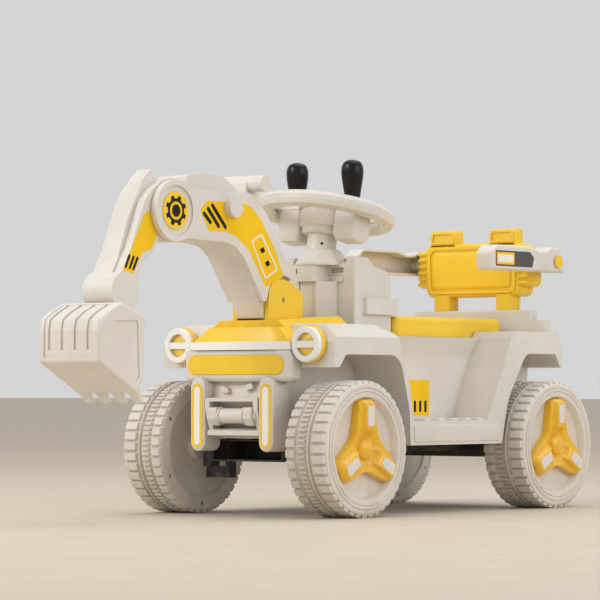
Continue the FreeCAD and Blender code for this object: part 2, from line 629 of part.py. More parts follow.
def build_bucket():
    """Open bucket with a ribbed front, four teeth and two hinge lugs."""
    by, bz = BUCKET_PIVOT
    front = FRONT_END
    outline = [(-418, 339, 8), (-447, 327, 12), (-467, 314, 10), (front, 295, 16),
               (front, 247, 7), (-382, 198, 4), (-366, 223, 3), (-362, 318.4, 2)]
    room = [(-416, 334, 3), (-444, 321, 8), (-461, 309, 8), (front + 6.5, 293, 10),
            (front + 6.5, 250, 4), (-380, 205), (-340, 200), (-340, 306)]
    tub = prism(outline, "yz", -BUCKET_X, BUCKET_X)
    tub = rounded(tub, 6, lambda e: abs(abs(e.BoundBox.XMin) - BUCKET_X) < 0.01
                  and abs(e.BoundBox.XMin - e.BoundBox.XMax) < 0.01 and e.BoundBox.YMax < -375)
    tub = tub.cut(prism(room, "yz", -BUCKET_X + 4, BUCKET_X - 4))
    panel = [(front - 1, 254), (front + 2, 254), (front + 2, 296, 14), (-465.5, 313, 8),
             (-447, 325, 10), (-425, 335), (-427, 343), (-452, 335), (front - 1, 320)]
    tub = tub.cut(prism(panel, "yz", -51, 51))
    groove = [(front - 1, 266), (front + 4.4, 266), (front + 4.4, 295, 12), (-463.4, 311, 8),
              (-445.6, 322.7, 10), (-424, 332), (-427, 343), (-452, 335), (front - 1, 320)]
    for x in (-40, -13.5, 13.5, 40):
        tub = tub.cut(prism(groove, "yz", x - 3.2, x + 3.2))
    hollow = [(-382, 312, 6), (-440, 310, 10), (-455, 296, 8), (-455, 256, 8), (-385, 216, 6),
              (-378, 226, 6)]
    tub = tub.cut(both_sides(prism(hollow, "yz", BUCKET_X - 1.6, BUCKET_X + 1)))
    for x in (-51, -17, 17, 51):
        root = [(x - 12, 208), (x + 12, 208), (x + 7, 184, 3), (x - 7, 184, 3)]
        tooth = prism(root, "xz", -390, -356)
        blade = [(-388, 208), (-379, 208), (-361, 186, 1), (-366, 183, 1)]
        tub = tub.fuse(tooth.common(prism(blade, "yz", x - 12, x + 12)))
    for side in (-1, 1):
        low, high = sorted((side * LUG_X[0], side * LUG_X[1]))
        piece = prism(lug_outline(0), "yz", low, high).fuse(rod_x(9, low, high, by, bz))
        tub = tub.fuse(piece)
    tub = tub.cut(rod_x(PIN_R + RUN_GAP, -40, 40, by, bz))
    save("bucket", tub.removeSplitter())


# ---- console, seat and backrest -----------------------------------------------

CONSOLE_X = 75.0
CONSOLE_Y = (148.0, 250.0)
DASH_Z = 420.0
ROCKER_PIVOT = (175.0, 412.5)
SEAT_X = 90.0
SEAT_Y = (252.0, 563.0)
SEAT_Z = 330.0
BACK_X = 97.0              # backrest's middle panel
WING_X = 121.0
BACK_Y = (585.0, 632.0)
BACK_Z = (371.5, 470.0)


def column_bell():
    """Smooth cover round the column, from the dash up to the steering wheel's neck."""
    foot = [(-17, 104, 12), (17, 104, 12), (42, 142, 14), (42, 190, 10), (-42, 190, 10),
            (-42, 142, 14)]
    neck = [(-15, 124, 11), (15, 124, 11), (28.5, 144, 10), (21, 178, 10), (-21, 178, 10),
            (-28.5, 144, 10)]
    return loft([(foot, 417), (neck, 441)], "xy").fuse(prism(foot, "xy", 414, 417.1))


def build_console():
    """Dash pillar around the column, with side cheeks, a vent and two foot wells."""
    y0, y1 = CONSOLE_Y
    cheek = [(y0, RAIL_Z + 1), (y0, 428, 5), (186, 427, 8), (203, 412, 10), (236, 406, 12),
             (y1, 392, 8), (y1, RAIL_Z + 1)]
    low = [(y0, RAIL_Z + 1), (y0, DASH_Z - 2, 4), (190, DASH_Z - 4), (y1, 392, 8),
           (y1, RAIL_Z + 1)]
    body = prism(low, "yz", -58, 58).fuse(both_sides(prism(cheek, "yz", 56, CONSOLE_X)))
    body = body.fuse(box(-CONSOLE_X - 9, CONSOLE_X + 9, 170, y1 + 8, 331.5, 359))
    body = rounded(body, 4, lambda e: along(e, Z_AXIS) and abs(e.BoundBox.XMin) > 74)
    neck = [(-18, 106, 8), (18, 106, 8), (20, 192), (-20, 192)]
    ledge = [(-19, 103, 9), (19, 103, 9), (21, y0 - 4, 4), (50, y0 - 4, 3), (50, y0 + 3),
             (-50, y0 + 3), (-50, y0 - 4, 3), (-21, y0 - 4, 4)]
    lower = body.fuse(prism([(-18, 108, 6), (18, 108, 6), (18, y0 + 3), (-18, y0 + 3)], "xy",
                            DECK_Z + 1, 318))
    body = lower.fuse(prism(neck, "xy", 386, 420)).fuse(column_bell())
    body = body.fuse(prism(ledge, "xy", 386, 395))
    body = body.fuse([box(s * 45 - 30, s * 45 + 30, y0, y0 + 3, DECK_Z + 1, RAIL_Z + 2)
                      for s in (-1, 1)])
    inner = [(y0 + 32, RAIL_Z), (y0 + 32, DASH_Z - 8), (190, DASH_Z - 8), (y1 - 3, 389),
             (y1 - 3, RAIL_Z)]
    body = body.cut(prism(inner, "yz", -CONSOLE_X + WALL, CONSOLE_X - WALL))
    well = [(-39, 324, 6), (39, 324, 6), (39, 387, 10), (-39, 387, 10)]
    body = body.cut(prism(well, "xz", y0 - 1, y0 + 28))
    duct = [(-13, 118, 5), (13, 118, 5), (13, 162, 5), (-13, 162, 5)]
    cover = prism([(-17, 112, 8), (17, 112, 8), (17, y0 + 29), (-17, y0 + 29)], "xy", 318, 390)
    body = body.fuse(cover).cut(prism(duct, "xy", 312, 392))
    body = body.cut(both_sides(prism([(24, 401, 2), (51, 401, 2), (51, 410, 2), (24, 410, 2)],
                                     "xz", y0 - 1, y0 + 8)))
    body = body.cut(column_tube(8, 240, 330)).cut(column_tube(12.5, 384, 425))
    body = body.cut(column_tube(26, 425, 460))
    for x in (-36, 36):
        body = body.fuse(box(x - 12, x + 12, 163, 187, DASH_Z - 20, DASH_Z - 6))
        body = body.cut(box(x - 8.6, x + 8.6, 166.4, 183.6, DASH_Z - 16, DASH_Z + 5))
    body = body.cut(rod_x(1.5 + RUN_GAP, -47, -25, *ROCKER_PIVOT))
    body = body.removeSplitter()
    save("console", max(body.Solids, key=lambda solid: solid.Volume))
    button = rod_z(7, 36, 175, DASH_Z - 10, DASH_Z + 2).fuse(
        rod_z(8.4, 36, 175, DASH_Z - 10, DASH_Z - 7.5))
    save("power_button", rounded(button, 1, lambda e: e.BoundBox.ZMin > DASH_Z + 1.9))
    rocker = prism([(167, DASH_Z - 4, 3), (168, DASH_Z + 2, 2), (175, DASH_Z - 0.5, 20),
                    (182, DASH_Z + 2, 2), (183, DASH_Z - 4, 3), (175, DASH_Z - 9, 3)],
                   "yz", -43, -29)
    rocker = rocker.fuse(rod_x(1.5, -46, -26, *ROCKER_PIVOT))
    save("direction_switch", rocker.removeSplitter())


def build_seat():
    """Hollow saddle-shaped seat moulding that lifts off the battery bay."""
    y0, y1 = SEAT_Y
    outline = [(-SEAT_X + 6, y0, 14), (SEAT_X - 6, y0, 14), (SEAT_X, y0 + 60), (SEAT_X, y1, 26),
               (-SEAT_X, y1, 26), (-SEAT_X, y0 + 60)]
    seat = prism(outline, "xy", RAIL_Z + 0.5, SEAT_Z)
    seat = rounded(seat, 9, lambda e: e.BoundBox.ZMin > SEAT_Z - 0.01)
    seat = seat.cut(inset(outline, "xy", RAIL_Z, SEAT_Z - WALL - 2, WALL))
    save("seat", seat)


def build_rear_deck():
    """Stepped rear cover that carries the backrest."""
    y1 = TAIL_Y - 6
    low = [(-160, COVER_Y, 3), (160, COVER_Y, 3), (160, 596), (150, y1, 6), (-150, y1, 6),
           (-160, 596)]
    high = [(-130, COVER_Y, 3), (130, COVER_Y, 3), (130, 598), (122, y1, 6), (-122, y1, 6),
            (-130, 598)]
    deck = prism(low, "xy", TAIL_Z + 0.5, 328).fuse(prism(high, "xy", 327, 347))
    deck = rounded(deck, 2.5, lambda e: abs(e.BoundBox.ZMin - 347) < 0.01)
    deck = deck.cut(inset(low, "xy", TAIL_Z, 325, WALL)).cut(inset(high, "xy", TAIL_Z, 344, WALL))
    for x in (-68, 68):
        deck = deck.cut(rod_z(5.2, x, 606, 340, 350))
    save("rear_deck", deck)


def build_backrest():
    """Yellow backrest in two moulded halves, with posts, ribbed wings and lugs on top."""
    z0, z1 = BACK_Z
    y0, y1 = BACK_Y
    split = 610.0
    block = [(-BACK_X - 6, z0, 14), (BACK_X + 6, z0, 14), (BACK_X + 10, z1 - 4, 16),
             (-BACK_X - 10, z1 - 4, 16)]
    body = prism(block, "xz", y0 + 4, y1)
    wing = [(-WING_X, 388, 12), (WING_X, 388, 12), (WING_X, 458, 14), (-WING_X, 458, 14)]
    body = body.fuse(prism(wing, "xz", y0 + 6, y1))
    panel = [(-BACK_X + 8, z0 + 9, 12), (BACK_X - 8, z0 + 9, 12), (BACK_X - 6, z1 - 10, 14),
             (-BACK_X + 6, z1 - 10, 14)]
    body = body.fuse(prism(panel, "xz", y0, y0 + 6))
    for side in (-1, 1):
        hump = [(side * 65 - 29, z1 - 8), (side * 65 - 27, z1 + 23, 5), (side * 65 + 27, z1 + 23, 5),
                (side * 65 + 29, z1 - 8)]
        hump = prism(hump, "xz", y0 + 3, y0 + 30)
        dish = [(side * 65 - 23, z1 + 1, 2), (side * 65 - 22, z1 + 19, 4),
                (side * 65 + 22, z1 + 19, 4), (side * 65 + 23, z1 + 1, 2)]
        hump = hump.cut(prism(dish, "xz", y0 + 2, y0 + 6))
        post = box(side * 68 - 18, side * 68 + 18, y0 + 4, y0 + 36, 347.2, z0 + 2)
        post = rounded(post, 5, lambda e: along(e, Z_AXIS))
        body = body.fuse([hump, post])
        for i in range(5):
            low, high = sorted((side * (BACK_X + 11.5), side * (WING_X + 3)))
            z = 399 + 12.5 * i
            body = body.cut(prism([(low, z - 2.2, 1.5), (high, z - 2.2, 1.5), (high, z + 2.2, 1.5),
                                   (low, z + 2.2, 1.5)], "xz", y0, y0 + 22))
    room = prism([(-BACK_X - 3, z0 + 3, 11), (BACK_X + 3, z0 + 3, 11), (BACK_X + 6, z1 - 7, 13),
                  (-BACK_X - 6, z1 - 7, 13)], "xz", y0 + 9, y1 - WALL)
    py, pz = ARM_PIVOT
    room = room.cut([rod_x(10, -WING_X, -BACK_X + 4, py, pz), rod_x(10, BACK_X - 4, WING_X, py, pz)])
    body = body.cut(room)
    body = body.cut(rod_x(6, -WING_X - 5, -108, py, pz)).cut(rod_x(6, 108, WING_X + 5, py, pz))
    front = body.common(box(-200, 200, 500, split, 300, 560))
    rear = body.common(box(-200, 200, split, 700, 300, 560))
    save("backrest_front", max(front.Solids, key=lambda solid: solid.Volume))
    save("backrest_rear", max(rear.Solids, key=lambda solid: solid.Volume))


def build_armrests():
    """Swing-up armrests on yellow pivot pins with broad heads."""
    py, pz = ARM_PIVOT
    inner, outer = ARM_X
    outline = [(422, 413, 2), (422, 444, 12), (438, 456, 10), (540, 456, 40), (572, 448.5, 30),
               (594, 450, 10), (606, 457, 8), (640, 457, 16), (646, 430, 20), (646, 413, 2)]
    arm = prism(outline, "yz", inner, outer)
    arm = rounded(arm, 5, lambda e: abs(e.BoundBox.XMin - outer) < 0.01
                  and abs(e.BoundBox.XMax - outer) < 0.01 and e.BoundBox.ZMax > 414)
    arm = arm.cut(inset(outline, "yz", inner - 1, outer - 4, 3.5).cut(
        rod_x(11, inner - 2, outer, py, pz)))
    arm = arm.cut(rod_x(6 + RUN_GAP, inner - 1, outer + 1, py, pz))
    save("armrest_left", arm)
    save("armrest_right", mirrored(arm))
    pin = rod_x(6, 109, outer + 1, py, pz).fuse(rod_x(9.5, WING_X + 0.2, inner - 0.4, py, pz))
    head = rod_x(11.5, outer + 0.4, outer + 4, py, pz)
    head = rounded(head, 1.2, lambda e: e.BoundBox.XMin > outer + 3.9)
    save("armrest_pivots", *both_sides(pin.fuse(head).removeSplitter()))


# ---- steering -----------------------------------------------------------------
# Drawn about a vertical axis with the rim's seam at z = 0, then leaned back.

RIM_TUBE = (90.0, 118.0)   # inner and outer radius of the rim
LEVER_X = 59.0


def leaned(shape):
    copy = shape.copy()
    copy.rotate(V(0, 0, 0), X_AXIS, -STEER_TILT)
    copy.translate(V(0, STEER_CENTRE[0], STEER_CENTRE[1]))
    return copy


def turn_z(points):
    wire = Part.makePolygon([V(r, 0, z) for r, z in points] + [V(points[0][0], 0, points[0][1])])
    return Part.Face(wire).revolve(V(0, 0, 0), Z_AXIS, 360)


def build_steering():
    """Two-part steering wheel on two wide spokes, its shaft and two shift levers."""
    r0, r1 = RIM_TUBE
    top = turn_z([(r0 + 3, 0.1), (r0, 3), (r0 + 1, 7), (r0 + 6, 10), (r1 - 8, 10), (r1 - 2, 6.5),
                  (r1, 2), (r1, 0.1)])
    plate = [(-r0 - 4, -24, 6), (r0 + 4, -24, 6), (r0 + 4, 24, 6), (-r0 - 4, 24, 6)]
    deck = prism(plate, "xy", 0.1, 7).common(rod_z(r0 + 5, 0, 0, 0, 8))
    hub = turn_z([(0, 0.1), (46, 0.1), (46, 6), (38, 11), (0, 12)])
    top = top.fuse([deck, hub])
    for x in (-LEVER_X, LEVER_X):
        top = top.cut(box(x - 7, x + 7, -15, 9, -1, 12))
    save("steering_wheel_top", leaned(top.removeSplitter()))
    base = turn_z([(r0 + 3, 0), (r0, -4), (r0 + 1, -11), (r0 + 7, -16), (r1 - 9, -16),
                   (r1 - 3, -13), (r1 + 0.5, -6), (r1 + 0.5, -1), (r1 - 0.5, 0)])
    base = base.cut(turn_z([(r0 + 6, 1), (r0 + 4, -8), (r0 + 8, -13), (r1 - 10, -13),
                            (r1 - 4, -8), (r1 - 5, 1)]))
    for i in range(8):
        a = math.radians(22.5 + 45 * i)
        boss = rod_z(4.6, 104 * math.cos(a), 104 * math.sin(a), -14, -1)
        base = base.fuse(boss)
        base = base.cut(rod_z(2.6, 104 * math.cos(a), 104 * math.sin(a), -17, -5))
    spokes = prism([(-r0 - 4, -20), (r0 + 4, -20), (r0 + 4, 20), (-r0 - 4, 20)], "xy", -9, 0)
    spokes = spokes.common(rod_z(r0 + 5, 0, 0, -10, 1))
    collar = turn_z([(0, 0), (41, 0), (41, -29), (36, -31), (36, -39), (32, -42), (25, -42),
                     (25, -76), (0, -76)])
    base = base.fuse([spokes, collar])
    for side in (-1, 1):
        x = side * LEVER_X
        pod = [(x - 24, -23, 7), (x + 24, -23, 7), (x + 24, 23, 7), (x - 24, 23, 7)]
        tip = [(x - 19, -18, 6), (x + 19, -18, 6), (x + 19, 18, 6), (x - 19, 18, 6)]
        base = base.fuse(loft([(pod, 0), (pod, -42), (tip, -53)], "xy"))
    for side in (-1, 1):
        x = side * LEVER_X
        base = base.cut(box(x - 20, x + 20, -19, 19, -38, 1))
        low, high = sorted((x - 21, x + 21))
        base = base.cut(rod_x(2.05, low, high, 0, -14))
    shaft_hole = rod_z(6, 0, 0, -80, -12)
    screw = rod_y(2.6, 0, -25, -10, -60)
    screw.rotate(V(0, 0, -60), Z_AXIS, 40)
    base = base.cut([shaft_hole, screw, turn_z([(9, -1.5), (38, -1.5), (38, 1), (9, 1)]).common(
        box(-38, 38, -38, 38, -20, 1))])
    base = base.removeSplitter()
    save("steering_wheel_base", leaned(max(base.Solids, key=lambda solid: solid.Volume)))
    crank_z = (CRANK_Z - STEER_CENTRE[1]) / math.cos(math.radians(STEER_TILT))
    shaft = rod_z(6, 0, 0, crank_z, -12.2)
    crank = box(-7, 7, 0, CRANK_R, crank_z, crank_z + 5).fuse(
        rod_z(7, 0, CRANK_R, crank_z, crank_z + 5))
    peg = rod_z(CRANK_PIN_R, 0, CRANK_R, crank_z - 22, crank_z + 2)
    save("steering_shaft", leaned(shaft.fuse([crank, peg]).removeSplitter()))
    profile = [V(0, 0, 85), V(8, 0, 84.2), V(14, 0, 81), V(17.8, 0, 74), V(18.8, 0, 65),
               V(17.8, 0, 53), V(15.4, 0, 38), V(13.2, 0, 24), V(12.4, 0, 16)]
    curve = Part.BSplineCurve()
    curve.interpolate(profile)
    foot = Part.makePolygon([profile[-1], V(8, 0, 12), V(4.5, 0, 12), V(4.5, 0, -14),
                             V(0, 0, -14), profile[0]])
    outline = Part.Wire([curve.toShape()] + foot.Edges)
    grip = Part.Face(outline).revolve(V(0, 0, 0), Z_AXIS, 360)
    slant = prism([(-30, 92), (30, 76), (30, 95), (-30, 95)], "yz", -30, 30)
    grip = rounded(grip.cut(slant), 4, lambda e: e.BoundBox.ZMin > 70 and e.Length > 25)
    for side, name in ((1, "lever_left"), (-1, "lever_right")):
        yoke = rod_x(6, -7, 7, 0, -14)
        pivot = rod_x(2, -20.9, 20.9, 0, -14)
        lever = grip.fuse([yoke, pivot]).removeSplitter()
        lever.rotate(V(0, 0, -14), X_AXIS, STEER_TILT)
        save(name, leaned(moved(lever, side * LEVER_X)))


PEDAL_HINGE = (226.0, 160.5)   # (Y, Z): the pedal's heel
PEDAL_X = (-150.0, -114.0)


def build_pedal():
    """Foot pedal in the right footwell: it hinges at the heel and rises to the toes."""
    y, z = PEDAL_HINGE
    low, high = PEDAL_X
    plate = prism([(y - 46, z - 2, 2), (y - 44, z + 2.5, 2), (y + 1, z + 4), (y + 1, z - 3)],
                  "yz", low, high)
    plate = plate.fuse(rod_x(4, low, high, y, z))
    for i in range(4):
        plate = plate.fuse(box(low + 4, high - 4, y - 40 + 9 * i, y - 37 + 9 * i, z, z + 5))
    plate = plate.cut(rod_x(2 + RUN_GAP, low - 1, high + 1, y, z))
    plate.rotate(V(0, y, z), X_AXIS, -26)
    save("foot_pedal", plate.removeSplitter())


# ---- front end ----------------------------------------------------------------

NOSE_X = 112.0
NOSE_Y = -73.0
LAMP_X = 135.0
LAMP_Z = 278.0
LAMP_R = 29.0
STRIP_X = 72.0
STRIP_Z = (109.0, 215.0)


def stadium(x, half, z0, z1):
    """Upright slot outline with round ends."""
    r = half - 0.01
    return [(x - half, z0, r), (x + half, z0, r), (x + half, z1, r), (x - half, z1, r)]


def light_bar(gap):
    """The bar over the nose, or the room for it in the hood."""
    g = gap
    bar = [(-106, -62), (-80, -78), (80, -78), (106, -62), (106 + g, -56 + g), (78, -67.5 + g),
           (-78, -67.5 + g), (-106 - g, -56 + g)]
    return prism(bar, "xy", LAMP_Z - 8.5 - g * 10, LAMP_Z + 5 + g)


def build_front():
    """Nose block on two columns, with the name plate, lamps, light bar and winch."""
    back = -43.5
    nose = box(-NOSE_X, NOSE_X, NOSE_Y, back, 218, 268.5)
    nose = rounded(nose, 12, lambda e: along(e, Z_AXIS) and e.BoundBox.YMax < NOSE_Y + 1)
    nose = rounded(nose, 9, lambda e: e.BoundBox.ZMax < 219 and e.BoundBox.YMax < back - 1)
    grille = prism([(-60, 200), (-52, 229), (back, 229), (back, 126), (-50, 126), (-50, 146),
                    (-64, 186)], "yz", -60, 60)
    nose = nose.fuse(grille)
    nose = nose.cut([rod_y(LAMP_R + 2, x, -90, -40, LAMP_Z) for x in (-LAMP_X, LAMP_X)])
    for side in (-1, 1):
        x = side * STRIP_X
        column = prism(stadium(x, 15, STRIP_Z[0] - 4, STRIP_Z[1] + 10), "xz", -83.5, back)
        column = rounded(column, 3, lambda e: e.BoundBox.YMax < -83.4)
        nose = nose.fuse(column)
    for side in (-1, 1):
        x = side * STRIP_X
        nose = nose.cut(prism(stadium(x, 11.6, STRIP_Z[0], STRIP_Z[1]), "xz", -90, -81))
    for x, tilt in ((-28, -9), (22, 9)):
        lug = prism([(x - 9, 203, 3), (x + 9, 203 + tilt / 2, 3), (x + 7, 212 + tilt / 2, 3),
                     (x - 7, 212, 3)], "xz", -67, -52)
        nose = nose.fuse(lug)
    plate = [(-101, 229.5, 15), (101, 229.5, 15), (101, 261.5, 15), (-101, 261.5, 15)]
    nose = nose.cut(prism(plate, "xz", NOSE_Y - 1, NOSE_Y + 1.5))
    save("front_bumper", nose.removeSplitter())
    plate = prism([(-100.8, 229.7, 14.8), (100.8, 229.7, 14.8), (100.8, 261.3, 14.8),
                   (-100.8, 261.3, 14.8)], "xz", NOSE_Y - 1.5, NOSE_Y + 1.4)
    save("name_plate", rounded(plate, 0.8, lambda e: e.BoundBox.YMax < NOSE_Y - 1.4))
    rims, lenses = [], []
    for side in (-1, 1):
        x = side * STRIP_X
        rim = prism(stadium(x, 11.4, STRIP_Z[0] + 0.2, STRIP_Z[1] - 0.2), "xz", -84.2, -81)
        core = stadium(x, 6.6, STRIP_Z[0] + 5, STRIP_Z[1] - 5)
        rims.append(rim.cut(prism(core, "xz", -90, -80)))
        core = stadium(x, 6.5, STRIP_Z[0] + 5.1, STRIP_Z[1] - 5.1)
        lens = prism(core, "xz", -85, -81)
        lenses.append(rounded(lens, 1.2, lambda e: e.BoundBox.YMax < -84.9))
    save("strip_light_rims", *rims)
    save("strip_light_lenses", *lenses)
    bar = light_bar(0).cut([rod_y(LAMP_R + 1.2, x, -90, -40, LAMP_Z) for x in (-LAMP_X, LAMP_X)])
    save("light_bar", rounded(bar, 0.8, lambda e: e.BoundBox.YMax < -77.9))
    bezel = rod_y(LAMP_R, LAMP_X, -61, -53, LAMP_Z)
    bezel = rounded(bezel, 2.5, lambda e: e.BoundBox.YMax < -60.9)
    bezel = bezel.cut(rod_y(19, LAMP_X, -62, -50, LAMP_Z))
    rail = box(LAMP_X - 22, LAMP_X + 22, -60, -54, LAMP_Z - 5.5, LAMP_Z + 5.5)
    bezel = bezel.fuse(rail.common(rod_y(24, LAMP_X, -62, -50, LAMP_Z))).removeSplitter()
    save("headlight_bezels", *both_sides(bezel))
    lens = Part.makeSphere(60, V(LAMP_X, 4, LAMP_Z)).common(
        rod_y(18.8, LAMP_X, -60, -47, LAMP_Z))
    lens = lens.cut(box(LAMP_X - 30, LAMP_X + 30, -62, -53.9, LAMP_Z - 5.7, LAMP_Z + 5.7))
    save("headlight_lenses", *both_sides(lens))
    case = rod_y(LAMP_R + 1.5, LAMP_X, -52.9, back, LAMP_Z)
    case = case.cut(rod_y(25, LAMP_X, -60, back - 3, LAMP_Z))
    save("headlight_housings", *both_sides(case))


def build_winch():
    """Winch between the columns: frame, clamps and wound drum in one moulding."""
    frame = box(-55, 55, -84, -64.2, 186, 192)
    skid = prism([(-68, 143), (-79, 139), (-79, 131), (-50.2, 128), (-50.2, 140)], "yz", -54, 54)
    winch = frame.fuse(skid)
    for side in (-1, 1):
        low, high = sorted((side * 46, side * 55))
        cheek = prism([(-64.2, 190), (-84, 190), (-84, 172), (-72, 134), (-52, 134),
                       (-64.2, 186)], "yz", low, high)
        low, high = sorted((side * 28, side * 45))
        clamp = prism([(-88, 176, 4), (-70, 178, 4), (-66, 152, 4), (-80, 146, 4),
                       (-89, 158, 4)], "yz", low, high)
        winch = winch.fuse([cheek, clamp])
    winch = winch.fuse([rod_x(8, -50, 50, -76, 163), rod_x(12.5, -29, 29, -76, 163)])
    for x in (-26, 24):
        winch = winch.fuse(rod_x(14.5, x, x + 3, -76, 163))
    save("winch", winch.removeSplitter())


def export():
    os.makedirs("parts", exist_ok=True)
    middle = (FRONT_END + REAR_END) / 2
    for name, pieces in parts.items():
        shape = pieces[0] if len(pieces) == 1 else Part.makeCompound(pieces)
        moved(shape, y=-middle).exportStep("parts/%s.step" % name)


build_wheels()
build_chassis()
build_rear_axle()
build_knuckles()
build_tie_rod()
build_drive()
build_body()
build_hood()
build_bracket()
build_boom()
build_stick()
build_bucket()
build_console()
build_seat()
build_rear_deck()
build_backrest()
build_armrests()
build_steering()
build_pedal()
build_front()
build_winch()
export()
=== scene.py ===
import bpy
import bmesh
import json
import math
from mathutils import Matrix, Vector


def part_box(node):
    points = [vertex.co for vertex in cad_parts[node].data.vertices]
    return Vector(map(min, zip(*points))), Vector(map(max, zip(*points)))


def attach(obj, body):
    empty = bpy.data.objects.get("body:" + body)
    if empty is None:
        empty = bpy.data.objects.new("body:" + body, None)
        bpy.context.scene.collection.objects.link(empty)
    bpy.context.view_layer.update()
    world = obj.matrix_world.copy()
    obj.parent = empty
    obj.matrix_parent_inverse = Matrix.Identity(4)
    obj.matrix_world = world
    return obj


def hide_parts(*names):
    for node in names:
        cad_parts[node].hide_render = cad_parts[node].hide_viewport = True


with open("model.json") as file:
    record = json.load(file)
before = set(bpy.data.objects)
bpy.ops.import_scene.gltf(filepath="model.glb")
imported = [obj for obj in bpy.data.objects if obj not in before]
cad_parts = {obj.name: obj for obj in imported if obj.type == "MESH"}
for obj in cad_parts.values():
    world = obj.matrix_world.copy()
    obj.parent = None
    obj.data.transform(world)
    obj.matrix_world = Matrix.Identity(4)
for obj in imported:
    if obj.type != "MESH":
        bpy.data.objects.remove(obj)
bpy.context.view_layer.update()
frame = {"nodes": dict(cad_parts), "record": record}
NODES = frame["nodes"]

# The CAD's own Y = 0 is the front axle; the frame's is the middle of the vehicle.
AXLE_Y = sum(corner[1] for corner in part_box("wheel_front_left_rim")) / 2
MM = 0.001


def pt(x, y, z):
    """A point given in millimetres from the front axle's middle, in the frame."""
    return Vector((x * MM, y * MM + AXLE_Y, z * MM))


# ---- materials ----------------------------------------------------------------

def srgb(r, g, b):
    """A screen colour, 0 to 255, as the linear RGBA that the shaders take."""
    def lin(c):
        c /= 255
        return c / 12.92 if c <= 0.04045 else ((c + 0.055) / 1.055) ** 2.4
    return (lin(r), lin(g), lin(b), 1.0)


def tinted(colour, factors, lift=0.0):
    """A colour with its channels multiplied and lifted, no brighter than white."""
    return tuple(min(1.0, c * k + lift) for c, k in zip(colour[:3], factors)) + (1.0,)


class Nodes:
    """Small helper to wire one material's nodes."""

    def __init__(self, name):
        self.mat = bpy.data.materials.new(name)
        self.mat.use_nodes = True
        self.tree = self.mat.node_tree
        self.bsdf = self.tree.nodes["Principled BSDF"]
        self.coords = self.add("ShaderNodeTexCoord").outputs["Object"]

    def add(self, kind, **props):
        node = self.tree.nodes.new(kind)
        for key, value in props.items():
            setattr(node, key, value)
        return node

    def link(self, a, b):
        self.tree.links.new(a, b)

    def noise(self, scale, detail=3.0, rough=0.55, stretch=None, seed=0.0):
        """Noise with scale features per metre, stretched per axis and moved by seed."""
        source = self.coords
        if stretch or seed:
            mapping = self.add("ShaderNodeMapping")
            mapping.inputs["Scale"].default_value = stretch or (1, 1, 1)
            mapping.inputs["Location"].default_value = (seed, seed * 0.7, seed * 1.3)
            self.link(source, mapping.inputs["Vector"])
            source = mapping.outputs["Vector"]
        node = self.add("ShaderNodeTexNoise")
        node.inputs["Scale"].default_value = scale
        node.inputs["Detail"].default_value = detail
        node.inputs["Roughness"].default_value = rough
        self.link(source, node.inputs["Vector"])
        return node.outputs["Fac"]

    def ramp(self, value, low, high, a=0.0, b=1.0):
        """Map value from low..high to a..b, held at the ends."""
        node = self.add("ShaderNodeMapRange")
        node.inputs["From Min"].default_value = low
        node.inputs["From Max"].default_value = high
        node.inputs["To Min"].default_value = a
        node.inputs["To Max"].default_value = b
        self.link(value, node.inputs["Value"])
        return node.outputs["Result"]

    def math(self, op, a, b):
        node = self.add("ShaderNodeMath", operation=op)
        for i, v in enumerate((a, b)):
            if isinstance(v, (int, float)):
                node.inputs[i].default_value = v
            else:
                self.link(v, node.inputs[i])
        return node.outputs["Value"]

    def mix(self, fac, a, b):
        """A colour fac of the way from a to b."""
        node = self.add("ShaderNodeMix", data_type="RGBA", blend_type="MIX")
        if isinstance(fac, (int, float)):
            node.inputs[0].default_value = fac
        else:
            self.link(fac, node.inputs[0])
        for i, v in ((6, a), (7, b)):
            if isinstance(v, tuple):
                node.inputs[i].default_value = v
            else:
                self.link(v, node.inputs[i])
        return node.outputs[2]

    def bump(self, layers, strength=1.0):
        """Stack bump layers: (height socket, distance in metres)."""
        normal = None
        for height, distance in layers:
            node = self.add("ShaderNodeBump")
            node.inputs["Strength"].default_value = strength
            node.inputs["Distance"].default_value = distance
            self.link(height, node.inputs["Height"])
            if normal is not None:
                self.link(normal, node.inputs["Normal"])
            normal = node.outputs["Normal"]
        self.link(normal, self.bsdf.inputs["Normal"])

    def set(self, **values):
        """Set the shader's inputs by name, with _ for each space."""
        for key, value in values.items():
            self.bsdf.inputs[key.replace("_", " ")].default_value = value


DUST = srgb(176, 160, 138)
DUST_TOP = 0.16            # metres above the floor at which the dust has thinned out
CREVICE = 0.02             # reach of the painted shade held in inner corners
ORANGE_PEEL, SCUFF_DEPTH = 0.00006, 0.00003


